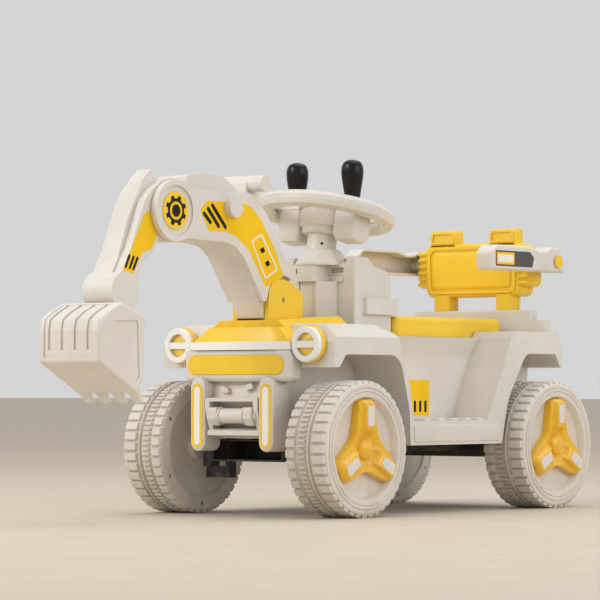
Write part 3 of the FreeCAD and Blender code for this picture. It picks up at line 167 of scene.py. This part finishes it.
def plastic(name, colour, rough=0.38, grain=0.00002, dust=0.10, wear=0.5, coat=0.0, sss=0.0,
            shine=0.45):
    """Moulded plastic: flow marks in the colour, orange peel, fine scuffs, dust low down."""
    n = Nodes(name)
    dark = tinted(colour, (0.93, 0.93, 0.93))
    light = tinted(colour, (1.03, 1.03, 1.03), 0.004)
    base = n.mix(n.ramp(n.noise(7, 4), 0.35, 0.65), dark, light)
    flow = n.ramp(n.noise(26, 5, 0.6, (1, 1, 0.25), 3.1), 0.45, 0.75, 0, 0.25)
    base = n.mix(flow, base, dark)
    # painted shade in the inner corners, found by ambient occlusion and broken into brown patches
    # by noise
    ao = n.add("ShaderNodeAmbientOcclusion", samples=6)
    ao.inputs["Distance"].default_value = CREVICE
    painted_crevice_shade = n.math("MULTIPLY", n.ramp(ao.outputs["AO"], 0.25, 0.85, 1, 0),
                  n.ramp(n.noise(60, 4, 0.6, None, 1.7), 0.3, 0.7, 0.3, 1))
    # the painted corner shade darkens the colour towards brown
    base = n.mix(n.math("MULTIPLY", painted_crevice_shade, 0.55), base, tinted(colour, (0.62, 0.56, 0.48)))
    # dust that thins out with height
    geometry = n.add("ShaderNodeNewGeometry")
    position = n.add("ShaderNodeSeparateXYZ")
    n.link(geometry.outputs["Position"], position.inputs[0])
    low = n.ramp(position.outputs["Z"], 0.0, DUST_TOP, 1, 0)
    low = n.math("MULTIPLY", low, n.ramp(n.noise(18, 6, 0.65, None, 5.0), 0.42, 0.72))
    n.link(n.mix(n.math("MULTIPLY", low, dust), base, DUST), n.bsdf.inputs["Base Color"])
    # scuffs and dust also dull the gloss
    scuff = n.ramp(n.noise(140, 6, 0.75, (1, 0.22, 1), 8.0), 0.56, 0.72)
    roughness = n.math("ADD", n.ramp(n.noise(16, 5), 0.3, 0.7, rough - 0.06, rough + 0.07),
                       n.math("MULTIPLY", scuff, 0.12 * wear))
    roughness = n.math("ADD", roughness, n.math("MULTIPLY", low, 0.25))
    n.link(roughness, n.bsdf.inputs["Roughness"])
    n.bump([(n.noise(95, 2, 0.5, None, 2.0), ORANGE_PEEL), (n.noise(900, 3, 0.6), grain),
            (scuff, SCUFF_DEPTH * wear)], 0.6)
    n.set(Specular_IOR_Level=shine)
    if coat:
        n.set(Coat_Weight=coat, Coat_Roughness=0.12)
    if sss:
        n.set(Subsurface_Weight=sss, Subsurface_Radius=(0.004, 0.003, 0.002),
              Subsurface_Scale=0.5)
    return n.mat


def steel(name):
    """Drawn, zinc-plated steel: streaks along its length and a few rust-brown spots."""
    n = Nodes(name)
    streak = n.noise(220, 4, 0.6, (0.15, 1, 1), 1.0)
    base = n.mix(n.ramp(streak, 0.35, 0.65), srgb(150, 148, 143), srgb(186, 184, 180))
    spots = n.ramp(n.noise(70, 5, 0.7, None, 4.0), 0.6, 0.75)
    n.link(n.mix(n.math("MULTIPLY", spots, 0.5), base, srgb(120, 98, 76)),
           n.bsdf.inputs["Base Color"])
    n.link(n.ramp(streak, 0.3, 0.7, 0.28, 0.46), n.bsdf.inputs["Roughness"])
    n.bump([(streak, 0.00004)], 0.5)
    n.set(Metallic=1.0)
    return n.mat


def lens(name, colour):
    """Ribbed lamp lens over a reflector, as one opaque moulding."""
    n = Nodes(name)
    wave = n.add("ShaderNodeTexWave", wave_type="BANDS", bands_direction="X")
    wave.inputs["Scale"].default_value = 190
    n.link(n.coords, wave.inputs["Vector"])
    base = n.mix(n.ramp(n.noise(30, 3), 0.3, 0.7), colour, tinted(colour, (1.12, 1.12, 1.12)))
    n.link(base, n.bsdf.inputs["Base Color"])
    n.link(n.ramp(n.noise(40, 4), 0.3, 0.7, 0.10, 0.2), n.bsdf.inputs["Roughness"])
    n.bump([(wave.outputs["Fac"], 0.0002)], 0.4)
    n.set(Coat_Weight=0.6, Coat_Roughness=0.05)
    return n.mat


CREAM = srgb(226, 221, 212)
WHEEL = srgb(222, 216, 206)
YELLOW = srgb(251, 209, 44)
BLACK = srgb(19, 13, 9)
WHITE = srgb(250, 249, 246)
MATS = {
    "body_cream": plastic("cream_plastic", CREAM, 0.34, sss=0.04),
    "wheel_cream": plastic("wheel_plastic", WHEEL, 0.46, 0.00005, dust=0.55, wear=1.0),
    "trim_white": plastic("white_trim", WHITE, 0.28, coat=0.2),
    "accent_yellow": plastic("yellow_plastic", YELLOW, 0.33, coat=0.15, sss=0.03),
    "insert_silver": plastic("silver_insert", srgb(224, 222, 218), 0.30, coat=0.2),
    "lamp_clear": lens("lamp_lens", srgb(246, 206, 84)),
    "knob_black": plastic("black_gloss", BLACK, 0.27, 0.00001, dust=0.02, shine=0.3),
    "chassis_dark": plastic("underbody_plastic", srgb(38, 37, 36), 0.55, 0.0001, dust=0.6),
    "pin_steel": steel("zinc_steel"),
    "battery_grey": plastic("battery_case", srgb(60, 60, 64), 0.5),
}
TRIM_YELLOW = plastic("wheel_trim_yellow", srgb(243, 188, 26), 0.26, coat=0.35, dust=0.3)
# printed films: material, and the slot it belongs to
FILM = {
    "yellow": (plastic("yellow_film", srgb(250, 202, 6), 0.40, 0.00001, shine=0.25),
               "accent_yellow"),
    "black": (plastic("black_film", srgb(22, 18, 14), 0.40, 0.00001, shine=0.25), "knob_black"),
    "white": (plastic("white_film", srgb(244, 242, 236), 0.30, 0.00001, coat=0.3),
              "trim_white"),
    "grey": (plastic("grey_film", srgb(72, 68, 64), 0.34, 0.00001, coat=0.3), "knob_black"),
}

# ---- carried-over CAD pieces --------------------------------------------------

SLOT_OF = {s["node"]: s["material_slot"] for s in frame["record"]["subparts"]}
# how far the edges of each kind of piece are rounded; the first start that fits counts
EDGES_MM = (("wheel_", 0.8), ("seat", 5.0), ("hood", 2.4), ("bucket", 2.4), ("boom_shell", 2.2),
            ("stick_shell", 2.2), ("body_shell", 2.6), ("console", 2.6), ("rear_deck", 3.0),
            ("armrest", 2.4), ("front_bumper", 2.4), ("", 1.4))
WELD_DISTANCE = 0.00002
FLAT_ANGLE, BEVEL_ANGLE = math.radians(1.0), math.radians(32)


def soften(obj, width):
    """Weld the CAD mesh, merge its flat faces and round its edges a little."""
    weld = obj.modifiers.new("weld", "WELD")
    weld.merge_threshold = WELD_DISTANCE
    flat = obj.modifiers.new("flat", "DECIMATE")
    flat.decimate_type = "DISSOLVE"
    flat.angle_limit = FLAT_ANGLE
    bevel = obj.modifiers.new("bevel", "BEVEL")
    bevel.width = width
    bevel.segments = 3
    bevel.limit_method = "ANGLE"
    bevel.angle_limit = BEVEL_ANGLE
    bevel.harden_normals = False
    bevel.use_clamp_overlap = True
    normal = obj.modifiers.new("normal", "WEIGHTED_NORMAL")
    normal.keep_sharp = False


for name, obj in NODES.items():
    obj.data.materials.clear()
    obj.data.materials.append(MATS[SLOT_OF[name]])
    obj.data.shade_smooth()
    soften(obj, next(mm for start, mm in EDGES_MM if name.startswith(start)) * MM)


# ---- building new pieces ------------------------------------------------------

CORNER_STEPS, CHAMFER_STEPS = 4, 4
SHARP_ANGLE = math.radians(40)
SIDES = ((1, "left"), (-1, "right"))


def add_piece(name, mesh, body, slot, material=None):
    """Put a finished mesh on one of the CAD bodies, with its material slot."""
    obj = bpy.data.objects.new(name, mesh)
    bpy.context.scene.collection.objects.link(obj)
    mesh.materials.append(material or MATS[slot])
    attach(obj, body)
    return obj


def edge_bevel(obj, width, angle):
    """Round a new piece's edges where its faces meet at more than angle degrees."""
    edge = obj.modifiers.new("edge", "BEVEL")
    edge.width = width * MM
    edge.segments = 2
    edge.angle_limit = math.radians(angle)


def round_corners(points):
    """An outline of (u, v) or (u, v, radius) points, with its corners rounded."""
    result = []
    count = len(points)
    for i, point in enumerate(points):
        here = Vector(point[:2])
        radius = point[2] if len(point) > 2 else 0
        before = Vector(points[i - 1][:2]) - here
        after = Vector(points[(i + 1) % count][:2]) - here
        if not radius:
            result.append(here)
            continue
        half = before.angle(after) / 2
        reach = min(radius / math.tan(half), before.length / 2, after.length / 2)
        a = here + before.normalized() * reach
        b = here + after.normalized() * reach
        for k in range(CORNER_STEPS + 1):
            t = k / CORNER_STEPS
            result.append(a * (1 - t) ** 2 + here * (2 * t * (1 - t)) + b * t ** 2)
    return result


def slab(bm, plane, outline, start, end, chamfer=0.0, side=1):
    """Add a flat-ended block to bm: its outline in plane, from start to end, in mm.

    The edges of the end face are rounded by chamfer; side -1 puts the block at -X.
    """
    points = round_corners(outline)
    count = len(points)
    turning = sum(points[i - 1].cross(points[i]) for i in range(count))
    inside = []
    for i, p in enumerate(points):
        edge = (points[(i + 1) % count] - p).normalized() + (p - points[i - 1]).normalized()
        edge.normalize()
        inside.append(Vector((-edge.y, edge.x)) * (1 if turning > 0 else -1))
    steps = [(start, 0.0)]
    if chamfer:
        direction = 1 if end > start else -1
        for k in range(CHAMFER_STEPS + 1):
            a = math.radians(90 * k / CHAMFER_STEPS)
            steps.append((end - direction * chamfer * (1 - math.sin(a)),
                          chamfer * (1 - math.cos(a))))
    else:
        steps.append((end, 0.0))
    rings = []
    for depth, inward in steps:
        ring = []
        for p, towards in zip(points, inside):
            q = p + towards * inward
            where = {"yz": (depth * side, q.x, q.y), "xz": (q.x * side, depth, q.y),
                     "xy": (q.x * side, q.y, depth)}[plane]
            ring.append(bm.verts.new(pt(*where)))
        rings.append(ring)
    for a, b in zip(rings, rings[1:]):
        for i in range(len(a)):
            j = (i + 1) % len(a)
            bm.faces.new((a[i], a[j], b[j], b[i]))
    bm.faces.new(rings[0])
    bm.faces.new(list(reversed(rings[-1])))


def finish_mesh(bm, name, smooth=True):
    """Turn bm into a mesh with its normals outward."""
    bmesh.ops.recalc_face_normals(bm, faces=bm.faces)
    mesh = bpy.data.meshes.new(name)
    bm.to_mesh(mesh)
    bm.free()
    if smooth:
        mesh.shade_smooth()
        mesh.set_sharp_from_angle(angle=SHARP_ANGLE)
    return mesh


FILM_SUNK, FILM_PROUD, FILM_LAYER = 0.2, 0.25, 0.15


def film_layer(title, body, x, side, index, colour, outlines):
    """One printed colour of a sticker on the side face at x; index counts from the face."""
    bm = bmesh.new()
    for outline in outlines:
        slab(bm, "yz", outline, x - FILM_SUNK, x + FILM_PROUD + FILM_LAYER * index, 0, side)
    material, slot = FILM[colour]
    add_piece(title, finish_mesh(bm, title), body, slot, material)


def film(name, body, x, layers):
    """A sticker on both side faces at x: layers of (colour, outlines), outermost last."""
    for side, label in SIDES:
        for index, (colour, outlines) in enumerate(layers):
            title = "%s_%s_%s" % (name, label, colour)
            if index > 1:
                title += "_%d" % index
            film_layer(title, body, x, side, index, colour, outlines)


def circle(y, z, r, count=48):
    turns = (2 * math.pi * i / count for i in range(count))
    return [(y + r * math.cos(a), z + r * math.sin(a)) for a in turns]


def bar(y0, z0, y1, z1, width):
    """A round-ended stripe between two points."""
    along = Vector((y1 - y0, z1 - z0)).normalized()
    across = Vector((-along.y, along.x)) * (width / 2)
    a = Vector((y0, z0))
    b = Vector((y1, z1))
    r = width * 0.49
    return [tuple(corner) + (r,) for corner in (a - across, b - across, b + across, a + across)]


def gear(y, z, root, tip, teeth):
    """A gear's outline, with tooth flanks and tips as shares of the pitch."""
    points = []
    for i in range(teeth):
        for share, r in ((-0.27, root), (-0.17, tip), (0.17, tip), (0.27, root)):
            a = 2 * math.pi * (i + 0.5 + share) / teeth
            points.append((y + r * math.cos(a), z + r * math.sin(a)))
    return points


# ---- stickers -----------------------------------------------------------------

# Outlines are (y, z) or (y, z, corner radius), in millimetres from the front axle.
ELBOW = (-267.0, 486.0)
BOOM_SIDE, STICK_SIDE, CAP_SIDE = 37.5, 30.0, 40.5
boom_field = [(-206, 490, 6), (-186, 506, 5), (-93, 505, 18), (-76.5, 500, 12), (-50.5, 478, 20),
              (-17.6, 434, 20), (5.6, 391, 6), (-40.6, 371, 6), (-83, 430, 30), (-115, 451, 20),
              (-141, 458, 10), (-184, 458, 6)]
boom_bars = [bar(-198, 487, -178, 469.5, 7), bar(-188, 495, -158, 464, 7),
             bar(-177.5, 501, -141, 463, 7)]
boom_frame = [(-79, 446, 6), (-52, 459, 6), (-9, 401, 6), (-43, 384, 6)]
boom_frame_in = [(-75, 444.6, 4), (-53.4, 455, 4), (-13.6, 402, 4), (-41.4, 388.4, 4)]
windows = [[(-57, 433, 1), (-48, 437, 1), (-43, 430, 1), (-52, 426, 1)],
           [(-44, 412, 1), (-35, 416, 1), (-30, 409, 1), (-39, 405, 1)]]
film("boom_sticker", "boom", BOOM_SIDE,
     [("yellow", [boom_field]), ("black", boom_bars), ("white", [boom_frame]),
      ("yellow", [boom_frame_in]), ("black", windows)])
stick_field = [(-331, 477, 4), (-318, 485, 3), (-311, 475, 6), (-299, 449, 5), (-313, 423, 5),
               (-331, 420, 4), (-339, 411, 4), (-357, 383, 4), (-381, 388, 4), (-366, 413, 10)]
stick_bars = [bar(-374, 393, -364, 414, 5), bar(-365, 391.5, -354, 412.5, 5),
              bar(-356.5, 390, -345, 411, 5)]
film("stick_sticker", "stick", STICK_SIDE, [("yellow", [stick_field]), ("black", stick_bars)])
film("elbow_sign", "boom", CAP_SIDE,
     [("black", [gear(ELBOW[0], ELBOW[1], 19.5, 24.5, 8)]),
      ("yellow", [circle(ELBOW[0], ELBOW[1], 14.5)]),
      ("black", [circle(ELBOW[0], ELBOW[1], 10.0)])])
WELL_SIDE = 96.0
film("footwell_sticker", "vehicle", WELL_SIDE,
     [("yellow", [[(262, 162, 3), (328, 162, 3), (328, 222, 3), (262, 222, 3)]]),
      ("black", [bar(y, 167, y, 187, 6.5) for y in (272, 287, 302, 317)])])
ARMREST_SIDE = 161.0
armrest_layers = [
    ("grey", [(434, 419, 3), (545, 419, 3), (551, 436, 5), (538, 446, 5), (434, 446, 3)]),
    ("yellow", [(437, 422, 2), (490, 422, 2), (490, 443, 2), (437, 443, 2)]),
    ("white", [(441, 426, 1), (486, 426, 1), (486, 439, 1), (441, 439, 1)])]
for side, label in SIDES:
    for index, (colour, outline) in enumerate(armrest_layers):
        film_layer("armrest_sticker_%s_%s" % (label, colour), label + "_armrest", ARMREST_SIDE,
                   side, index, colour, [outline])

# ---- tyres --------------------------------------------------------------------

WHEEL_R, HALF_W, AXLE_Z, WHEEL_X, WHEELBASE = 110.0, 41.0, 110.0, 172.5, 546.0
WHEELS = [("%s_%s" % (end, label), side, pt(side * WHEEL_X, y, AXLE_Z))
          for end, y in (("front", 0.0), ("rear", WHEELBASE)) for side, label in SIDES]
PITCHES = 80
PITCH_SHARES = (0.0, 0.12, 0.5, 0.62)
GROOVE = WHEEL_R - 4.6
TREAD_ROWS = (
    # (inboard end, outboard end, slope at the ends, pitches per block, gap share, offset)
    (-HALF_W + 0.5, -HALF_W + 20.5, 1.6, 2, 0.21, 0.0),
    (-HALF_W + 24.5, -HALF_W + 40.5, 1.2, 1, 0.24, 0.0),
    (-HALF_W + 44.5, -HALF_W + 48.5, 1.0, 0, 0.0, 0.0),
    (-HALF_W + 52.5, HALF_W - 2.5, 1.6, 2, 0.21, 1.0),
)


def moved(mesh, by):
    """Move a mesh's points, so that a wheel piece built round the origin sits on its axle."""
    for v in mesh.vertices:
        v.co = v.co + by
    return mesh


def tyre_mesh(name, side):
    """Moulded tyre and outer face: a turned shell whose tread is rows of deep blocks."""
    # (x, radius): down the outer face, through the hub's bore and back inside the rim
    face = [(HALF_W - 0.6, 100.5), (HALF_W - 0.6, 98.6), (HALF_W - 1.8, 98), (HALF_W - 1.8, 97),
            (HALF_W, 96.4), (HALF_W, 92.6), (HALF_W - 1.6, 91.8), (HALF_W - 1.6, 90.6),
            (HALF_W - 0.2, 90), (HALF_W - 0.2, 84.5), (HALF_W - 1.5, 82.8), (HALF_W - 12, 78),
            (HALF_W - 13.5, 75), (HALF_W - 13.5, 26), (HALF_W - 12, 24), (HALF_W - 12, 6.2),
            (HALF_W - 29, 6.2), (HALF_W - 29, 12), (HALF_W - 17, 14), (HALF_W - 17, 74),
            (HALF_W - 15.5, 80), (HALF_W - 7, 97), (-HALF_W + 0.3, 100.5)]
    columns = [(-HALF_W + 0.3, WHEEL_R - 8.5, None)]
    for row in TREAD_ROWS:
        x0, x1, slope = row[:3]
        columns += [(x0, GROOVE - 1.5, None), (x0 + 0.3, GROOVE - 0.5, None),
                    (x0 + slope, WHEEL_R, row), (x1 - slope, WHEEL_R, row),
                    (x1 - 0.2, GROOVE, None), (x1 + 0.6, GROOVE, None)]
    columns += [(HALF_W - 1.4, GROOVE - 1.0, None), (HALF_W - 0.7, 102.0, None)]
    columns += [(x, r, None) for x, r in face]
    bm = bmesh.new()
    rings = []
    for i in range(PITCHES):
        for step, share in enumerate(PITCH_SHARES):
            a = 2 * math.pi * (i + share) / PITCHES
            ring = []
            for x, r, row in columns:
                if row is not None and row[3]:
                    per_block, gap, offset = row[3:]
                    along = (i + share + offset) % per_block / per_block
                    if along < 1e-6 or along > 1 - gap:
                        r = GROOVE
                    if per_block == 1 and step >= 2:    # the fine row has a gap in each pitch
                        r = GROOVE if step == 3 else WHEEL_R - 0.6
                spot = Vector((x * side, r * math.cos(a), r * math.sin(a)))
                ring.append(bm.verts.new(spot * MM))
            rings.append(ring)
    for i in range(len(rings)):
        a, b = rings[i], rings[(i + 1) % len(rings)]
        for k in range(len(a)):
            m = (k + 1) % len(a)
            bm.faces.new((a[k], a[m], b[m], b[k]))
    return finish_mesh(bm, name)


for wheel, side, centre in WHEELS:
    node = "wheel_%s_rim" % wheel
    mesh = moved(tyre_mesh(node + "_tyre", side), centre)
    obj = add_piece(node + "_tyre", mesh, wheel + "_wheel", "wheel_cream")
    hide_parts(node)
    edge_bevel(obj, 0.6, 35)

# ---- screws in the wheels' backs --------------------------------------------------

SCREWS, SCREW_CIRCLE, SCREW_R, SCREW_SUNK = 6, 94.0, 2.9, 2.4
# (share of the radius, height, is the edge of the cross recess)
SCREW_PROFILE = ((1.0, 0.0, False), (1.0, 0.9, False), (0.8, 1.5, False), (0.34, 1.8, True),
                 (0.34, 0.7, True), (0.0, 0.7, False))
SCREW_SIDES = 16


def screw_head(bm, x, y, z, outward):
    """A pan-head screw with a cross recess, its axis along X, in mm from the wheel's centre."""
    rows = []
    for share, height, recess in SCREW_PROFILE:
        row = []
        for k in range(SCREW_SIDES):
            a = 2 * math.pi * k / SCREW_SIDES
            r = SCREW_R * share * ((1.5 if k % 4 == 0 else 0.5) if recess else 1.0)
            spot = Vector((x + outward * height, y + r * math.cos(a), z + r * math.sin(a)))
            row.append(bm.verts.new(spot * MM))
        rows.append(row)
    for a, b in zip(rows, rows[1:]):
        for k in range(SCREW_SIDES):
            m = (k + 1) % SCREW_SIDES
            bm.faces.new((a[k], a[m], b[m], b[k]))


for wheel, side, centre in WHEELS:
    bm = bmesh.new()
    for i in range(SCREWS):
        a = math.radians(30 + 360 / SCREWS * i)
        screw_head(bm, -side * (HALF_W - SCREW_SUNK), SCREW_CIRCLE * math.cos(a),
                   SCREW_CIRCLE * math.sin(a), -side)
    title = "wheel_%s_screws" % wheel
    add_piece(title, moved(finish_mesh(bm, title), centre), wheel + "_wheel", "pin_steel")

# ---- wheel trims ----------------------------------------------------------------

# Heights are from the tyre's outer face, in millimetres.
SPIDER_BASE = -13.4        # the wheel's dished floor
BOWL = -5.0                # lowest ring round the dome
DOME_R, BOWL_R, RIM_R, DOME_RISE = 18.5, 20.5, 33.0, 10.5
HUB_RINGS = (3, 6, 9, 12, 14.5, 16.5, 17.8, 18.5, 19.2, 20.5, 23, 26, 29, 31, 33)
TURNS, ARM_RINGS = 144, 14
ARM_TIP, WAIST, ARM_ROOT_HALF, ARM_TAPER = 79.0, 36.0, 33.0, 0.19
PAD_HALF, PAD_END, PAD_HEIGHT = 12.0, 73.0, 9.0
EDGE_DROP = 1.2            # how far the trim's edge is rounded off


def spider_radius(phi):
    """Distance from the hub to the edge of an arm, phi being the angle from its middle."""
    flank = ARM_ROOT_HALF / (math.sin(phi) + ARM_TAPER * math.cos(phi))
    tip = ARM_TIP / math.cos(phi)
    at_corner = abs(flank - tip) < 4
    return max(min(flank, tip), WAIST) - (EDGE_DROP if at_corner else 0)


def spider_height(r, phi):
    """Height of the trim over the tyre's face: a dome in a bowl, and pads on the arms."""
    across = r * math.sin(phi)
    pad = PAD_HEIGHT - 8.0 * min(1.0, max(0.0, (across - PAD_HALF) / 4.0)) ** 0.8
    if r > PAD_END:
        pad -= (r - PAD_END) * 1.1
    if r <= DOME_R:
        return BOWL + DOME_RISE * max(0.0, 1 - (r / DOME_R) ** 2) ** 0.6
    if r <= BOWL_R:
        return BOWL
    if r < RIM_R:
        t = (r - BOWL_R) / (RIM_R - BOWL_R)
        t = t * t * (3 - 2 * t)
        return BOWL * (1 - t) + (pad - 1.5) * t
    return pad - 1.5 * max(0.0, 1 - (r - RIM_R) / 4)


def spider_mesh(name, side):
    """The three-armed trim as rings of points from its hub to its edge, and down to its base."""
    bm = bmesh.new()
    third = 2 * math.pi / 3
    rows = []
    for i in range(TURNS):
        theta = 2 * math.pi * i / TURNS
        phi = abs((theta + third / 2) % third - third / 2)
        edge = spider_radius(phi)
        row = [(r, spider_height(r, phi)) for r in HUB_RINGS]
        for k in range(1, ARM_RINGS + 1):
            r = RIM_R + (edge - RIM_R) * k / ARM_RINGS
            row.append((r, spider_height(r, phi) - (EDGE_DROP if k == ARM_RINGS else 0)))
        row.append((edge + 0.7, row[-1][1] - 1.6))
        row.append((edge + 0.7, SPIDER_BASE))
        a = theta + math.pi / 2
        spots = (Vector(((HALF_W + h) * side, r * math.cos(a), r * math.sin(a))) for r, h in row)
        rows.append([bm.verts.new(spot * MM) for spot in spots])
    for i in range(TURNS):
        a, b = rows[i], rows[(i + 1) % TURNS]
        for k in range(len(a) - 1):
            bm.faces.new((a[k], a[k + 1], b[k + 1], b[k]))
    top = bm.verts.new(Vector(((HALF_W + BOWL + DOME_RISE) * side, 0, 0)) * MM)
    for i in range(TURNS):
        bm.faces.new((top, rows[i][0], rows[(i + 1) % TURNS][0]))
    bm.faces.new([row[-1] for row in rows])
    return finish_mesh(bm, name)


for wheel, side, centre in WHEELS:
    node = "wheel_%s_spider" % wheel
    mesh = moved(spider_mesh(node + "_trim", side), centre)
    obj = add_piece(node + "_trim", mesh, wheel + "_wheel", "accent_yellow", TRIM_YELLOW)
    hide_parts(node)

# ---- steps ----------------------------------------------------------------------

def box_outline(u0, v0, u1, v1, radius):
    """A rectangle's outline with rounded corners."""
    return [(u0, v0, radius), (u1, v0, radius), (u1, v1, radius), (u0, v1, radius)]


BODY_X, STEP_TOP = 181.0, 154.0
GRIPS, GRIP_PITCH, GRIP_WIDTH, GRIP_HEIGHT = 5, 38.0, 18.0, 3.6
for side, label in SIDES:
    bm = bmesh.new()
    slab(bm, "yz", box_outline(170, 118.5, 417, 147.5, 7), BODY_X - 0.5, BODY_X + 1.6, 1.4, side)
    for i in range(GRIPS):
        y = 203 + GRIP_PITCH * i
        slab(bm, "xy", box_outline(153, y, BODY_X - 0.8, y + GRIP_WIDTH, 5), STEP_TOP - 1,
             STEP_TOP + GRIP_HEIGHT, 2.6, side)
    title = "step_panel_%s" % label
    add_piece(title, finish_mesh(bm, title), "vehicle", "body_cream")

# ---- lining of the console's front recess -----------------------------------------

RECESS_Z = (324.2, 386.5)
bm = bmesh.new()
for side in (-1, 1):
    slab(bm, "xy", [(16, 113), (20, 114, 2), (38.9, 145, 3), (38.9, 152), (16, 152)],
         *RECESS_Z, 0, side)
add_piece("console_recess_lining", finish_mesh(bm, "console_recess_lining"), "vehicle",
          "body_cream")

# ---- backrest's front half ----------------------------------------------------

BACK_Y = (585.0, 610.0)
SLATS, SLAT_PITCH, SLAT_HALF = 6, 11.2, 3.6


def frame_bar(bm, outline, inner, start, end, side=1):
    """A raised border: the outline with the inner outline left open, both rounded alike."""
    outer, inner = round_corners(outline), round_corners(inner)
    loops = []
    for ring, depth in ((outer, start), (outer, end), (inner, end), (inner, start)):
        loops.append([bm.verts.new(pt(p.x * side, depth, p.y)) for p in ring])
    for a, b in zip(loops, loops[1:]):
        for i in range(len(a)):
            j = (i + 1) % len(a)
            bm.faces.new((a[i], a[j], b[j], b[i]))


def build_backrest():
    """The front moulding: cushion face, ribbed wings, two bordered humps and two feet."""
    y0, y1 = BACK_Y
    bm = bmesh.new()
    slab(bm, "xz", [(-104, 371.5, 18), (104, 371.5, 18), (108, 468, 20), (-108, 468, 20)],
         y1, y0 + 3.5, 10)
    border = [(-95, 378, 15), (95, 378, 15), (98, 462, 17), (-98, 462, 17)]
    inner = [(-89, 383, 12), (89, 383, 12), (91, 457, 14), (-91, 457, 14)]
    frame_bar(bm, border, inner, y0 + 6, y0 + 1.2)
    slab(bm, "xz", [(-87, 385, 11), (87, 385, 11), (89, 455, 13), (-89, 455, 13)],
         y0 + 10, y0 + 0.2, 7)
    for side in (-1, 1):
        slab(bm, "xz", box_outline(96, 389, 120.5, 457, 9), y1, y0 + 7, 5, side)
        for i in range(SLATS):
            z = 395 + SLAT_PITCH * i
            slab(bm, "xz", box_outline(99, z - SLAT_HALF, 120.9, z + SLAT_HALF, 3.5),
                 y0 + 16, y0 + 3.2, 3.2, side)
        hump = [(36, 462, 2), (38, 491.5, 7), (92, 491.5, 7), (94, 462, 2)]
        slab(bm, "xz", hump, y1, y0 + 5, 4, side)
        border = [(39, 468, 4), (40.5, 489, 6), (89.5, 489, 6), (91, 468, 4)]
        inner = [(43.5, 471.5, 3), (44.5, 485.5, 4), (85.5, 485.5, 4), (86.5, 471.5, 3)]
        frame_bar(bm, border, inner, y0 + 6, y0 + 2.6, side)
        slab(bm, "xy", [(50, y0 + 4, 7), (86, y0 + 4, 7), (86, y1, 2), (50, y1, 2)],
             347.4, 376, 0, side)
    mesh = finish_mesh(bm, "backrest_cushion_face")
    obj = add_piece("backrest_front_moulding", mesh, "vehicle", "accent_yellow")
    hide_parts("backrest_front")
    edge_bevel(obj, 1.2, 50)


build_backrest()

# ---- stage --------------------------------------------------------------------

FLOOR_REACH = 60.0
bm = bmesh.new()
bmesh.ops.create_grid(bm, x_segments=4, y_segments=4, size=FLOOR_REACH)
floor_mesh = finish_mesh(bm, "floor", False)
floor = bpy.data.objects.new("floor", floor_mesh)
bpy.context.scene.collection.objects.link(floor)
ground = Nodes("studio_floor")
ground.link(ground.mix(ground.ramp(ground.noise(11, 6), 0.3, 0.7), srgb(203, 190, 171),
                       srgb(208, 196, 178)), ground.bsdf.inputs["Base Color"])
ground.link(ground.ramp(ground.noise(60, 4), 0.3, 0.7, 0.7, 0.85), ground.bsdf.inputs["Roughness"])
ground.bump([(ground.noise(300, 4), 0.0002)], 0.3)
floor.data.materials.append(ground.mat)


def area(name, at, aim, size, power, colour=(1, 1, 1)):
    """A rectangular soft light at one point, turned towards another."""
    data = bpy.data.lights.new(name, "AREA")
    data.shape = "RECTANGLE"
    data.size, data.size_y = size
    data.energy = power
    data.color = colour
    lamp = bpy.data.objects.new(name, data)
    lamp.location = at
    lamp.rotation_euler = (Vector(aim) - Vector(at)).to_track_quat("-Z", "Y").to_euler()
    bpy.context.scene.collection.objects.link(lamp)


WARM, COOL = (1.0, 0.98, 0.95), (0.97, 0.98, 1.0)
SKY = (0.665, 0.665, 0.67, 1)
area("key", (-1.6, -3.4, 2.6), (0, 0, 0.25), (2.2, 1.8), 70, WARM)
area("fill", (3.8, 0.4, 1.7), (0, 0, 0.25), (2.6, 2.2), 36, COOL)
area("top", (0.3, 0.8, 3.6), (0, 0, 0.2), (3.0, 3.0), 45)
world = bpy.data.worlds.new("studio")
world.use_nodes = True
background = world.node_tree.nodes["Background"]
background.inputs["Color"].default_value = SKY
background.inputs["Strength"].default_value = 1.0
bpy.context.scene.world = world
bpy.context.scene.view_settings.view_transform = "Standard"

# A long lens at the wheels' height, well ahead of the vehicle and off its left side.
CAMERA_AT = pt(3191.56, -3897.12, 203.19)
CAMERA_TILT, CAMERA_HEADING = 91.699, 38.639
FOCAL_MM, SENSOR_MM = 183.894, 36
lens_data = bpy.data.cameras.new("camera")
lens_data.sensor_width = SENSOR_MM
lens_data.lens = FOCAL_MM
lens_data.clip_end = 100
camera = bpy.data.objects.new("camera", lens_data)
camera.location = CAMERA_AT
camera.rotation_euler = (math.radians(CAMERA_TILT), 0, math.radians(CAMERA_HEADING))
bpy.context.scene.collection.objects.link(camera)
bpy.context.scene.camera = camera
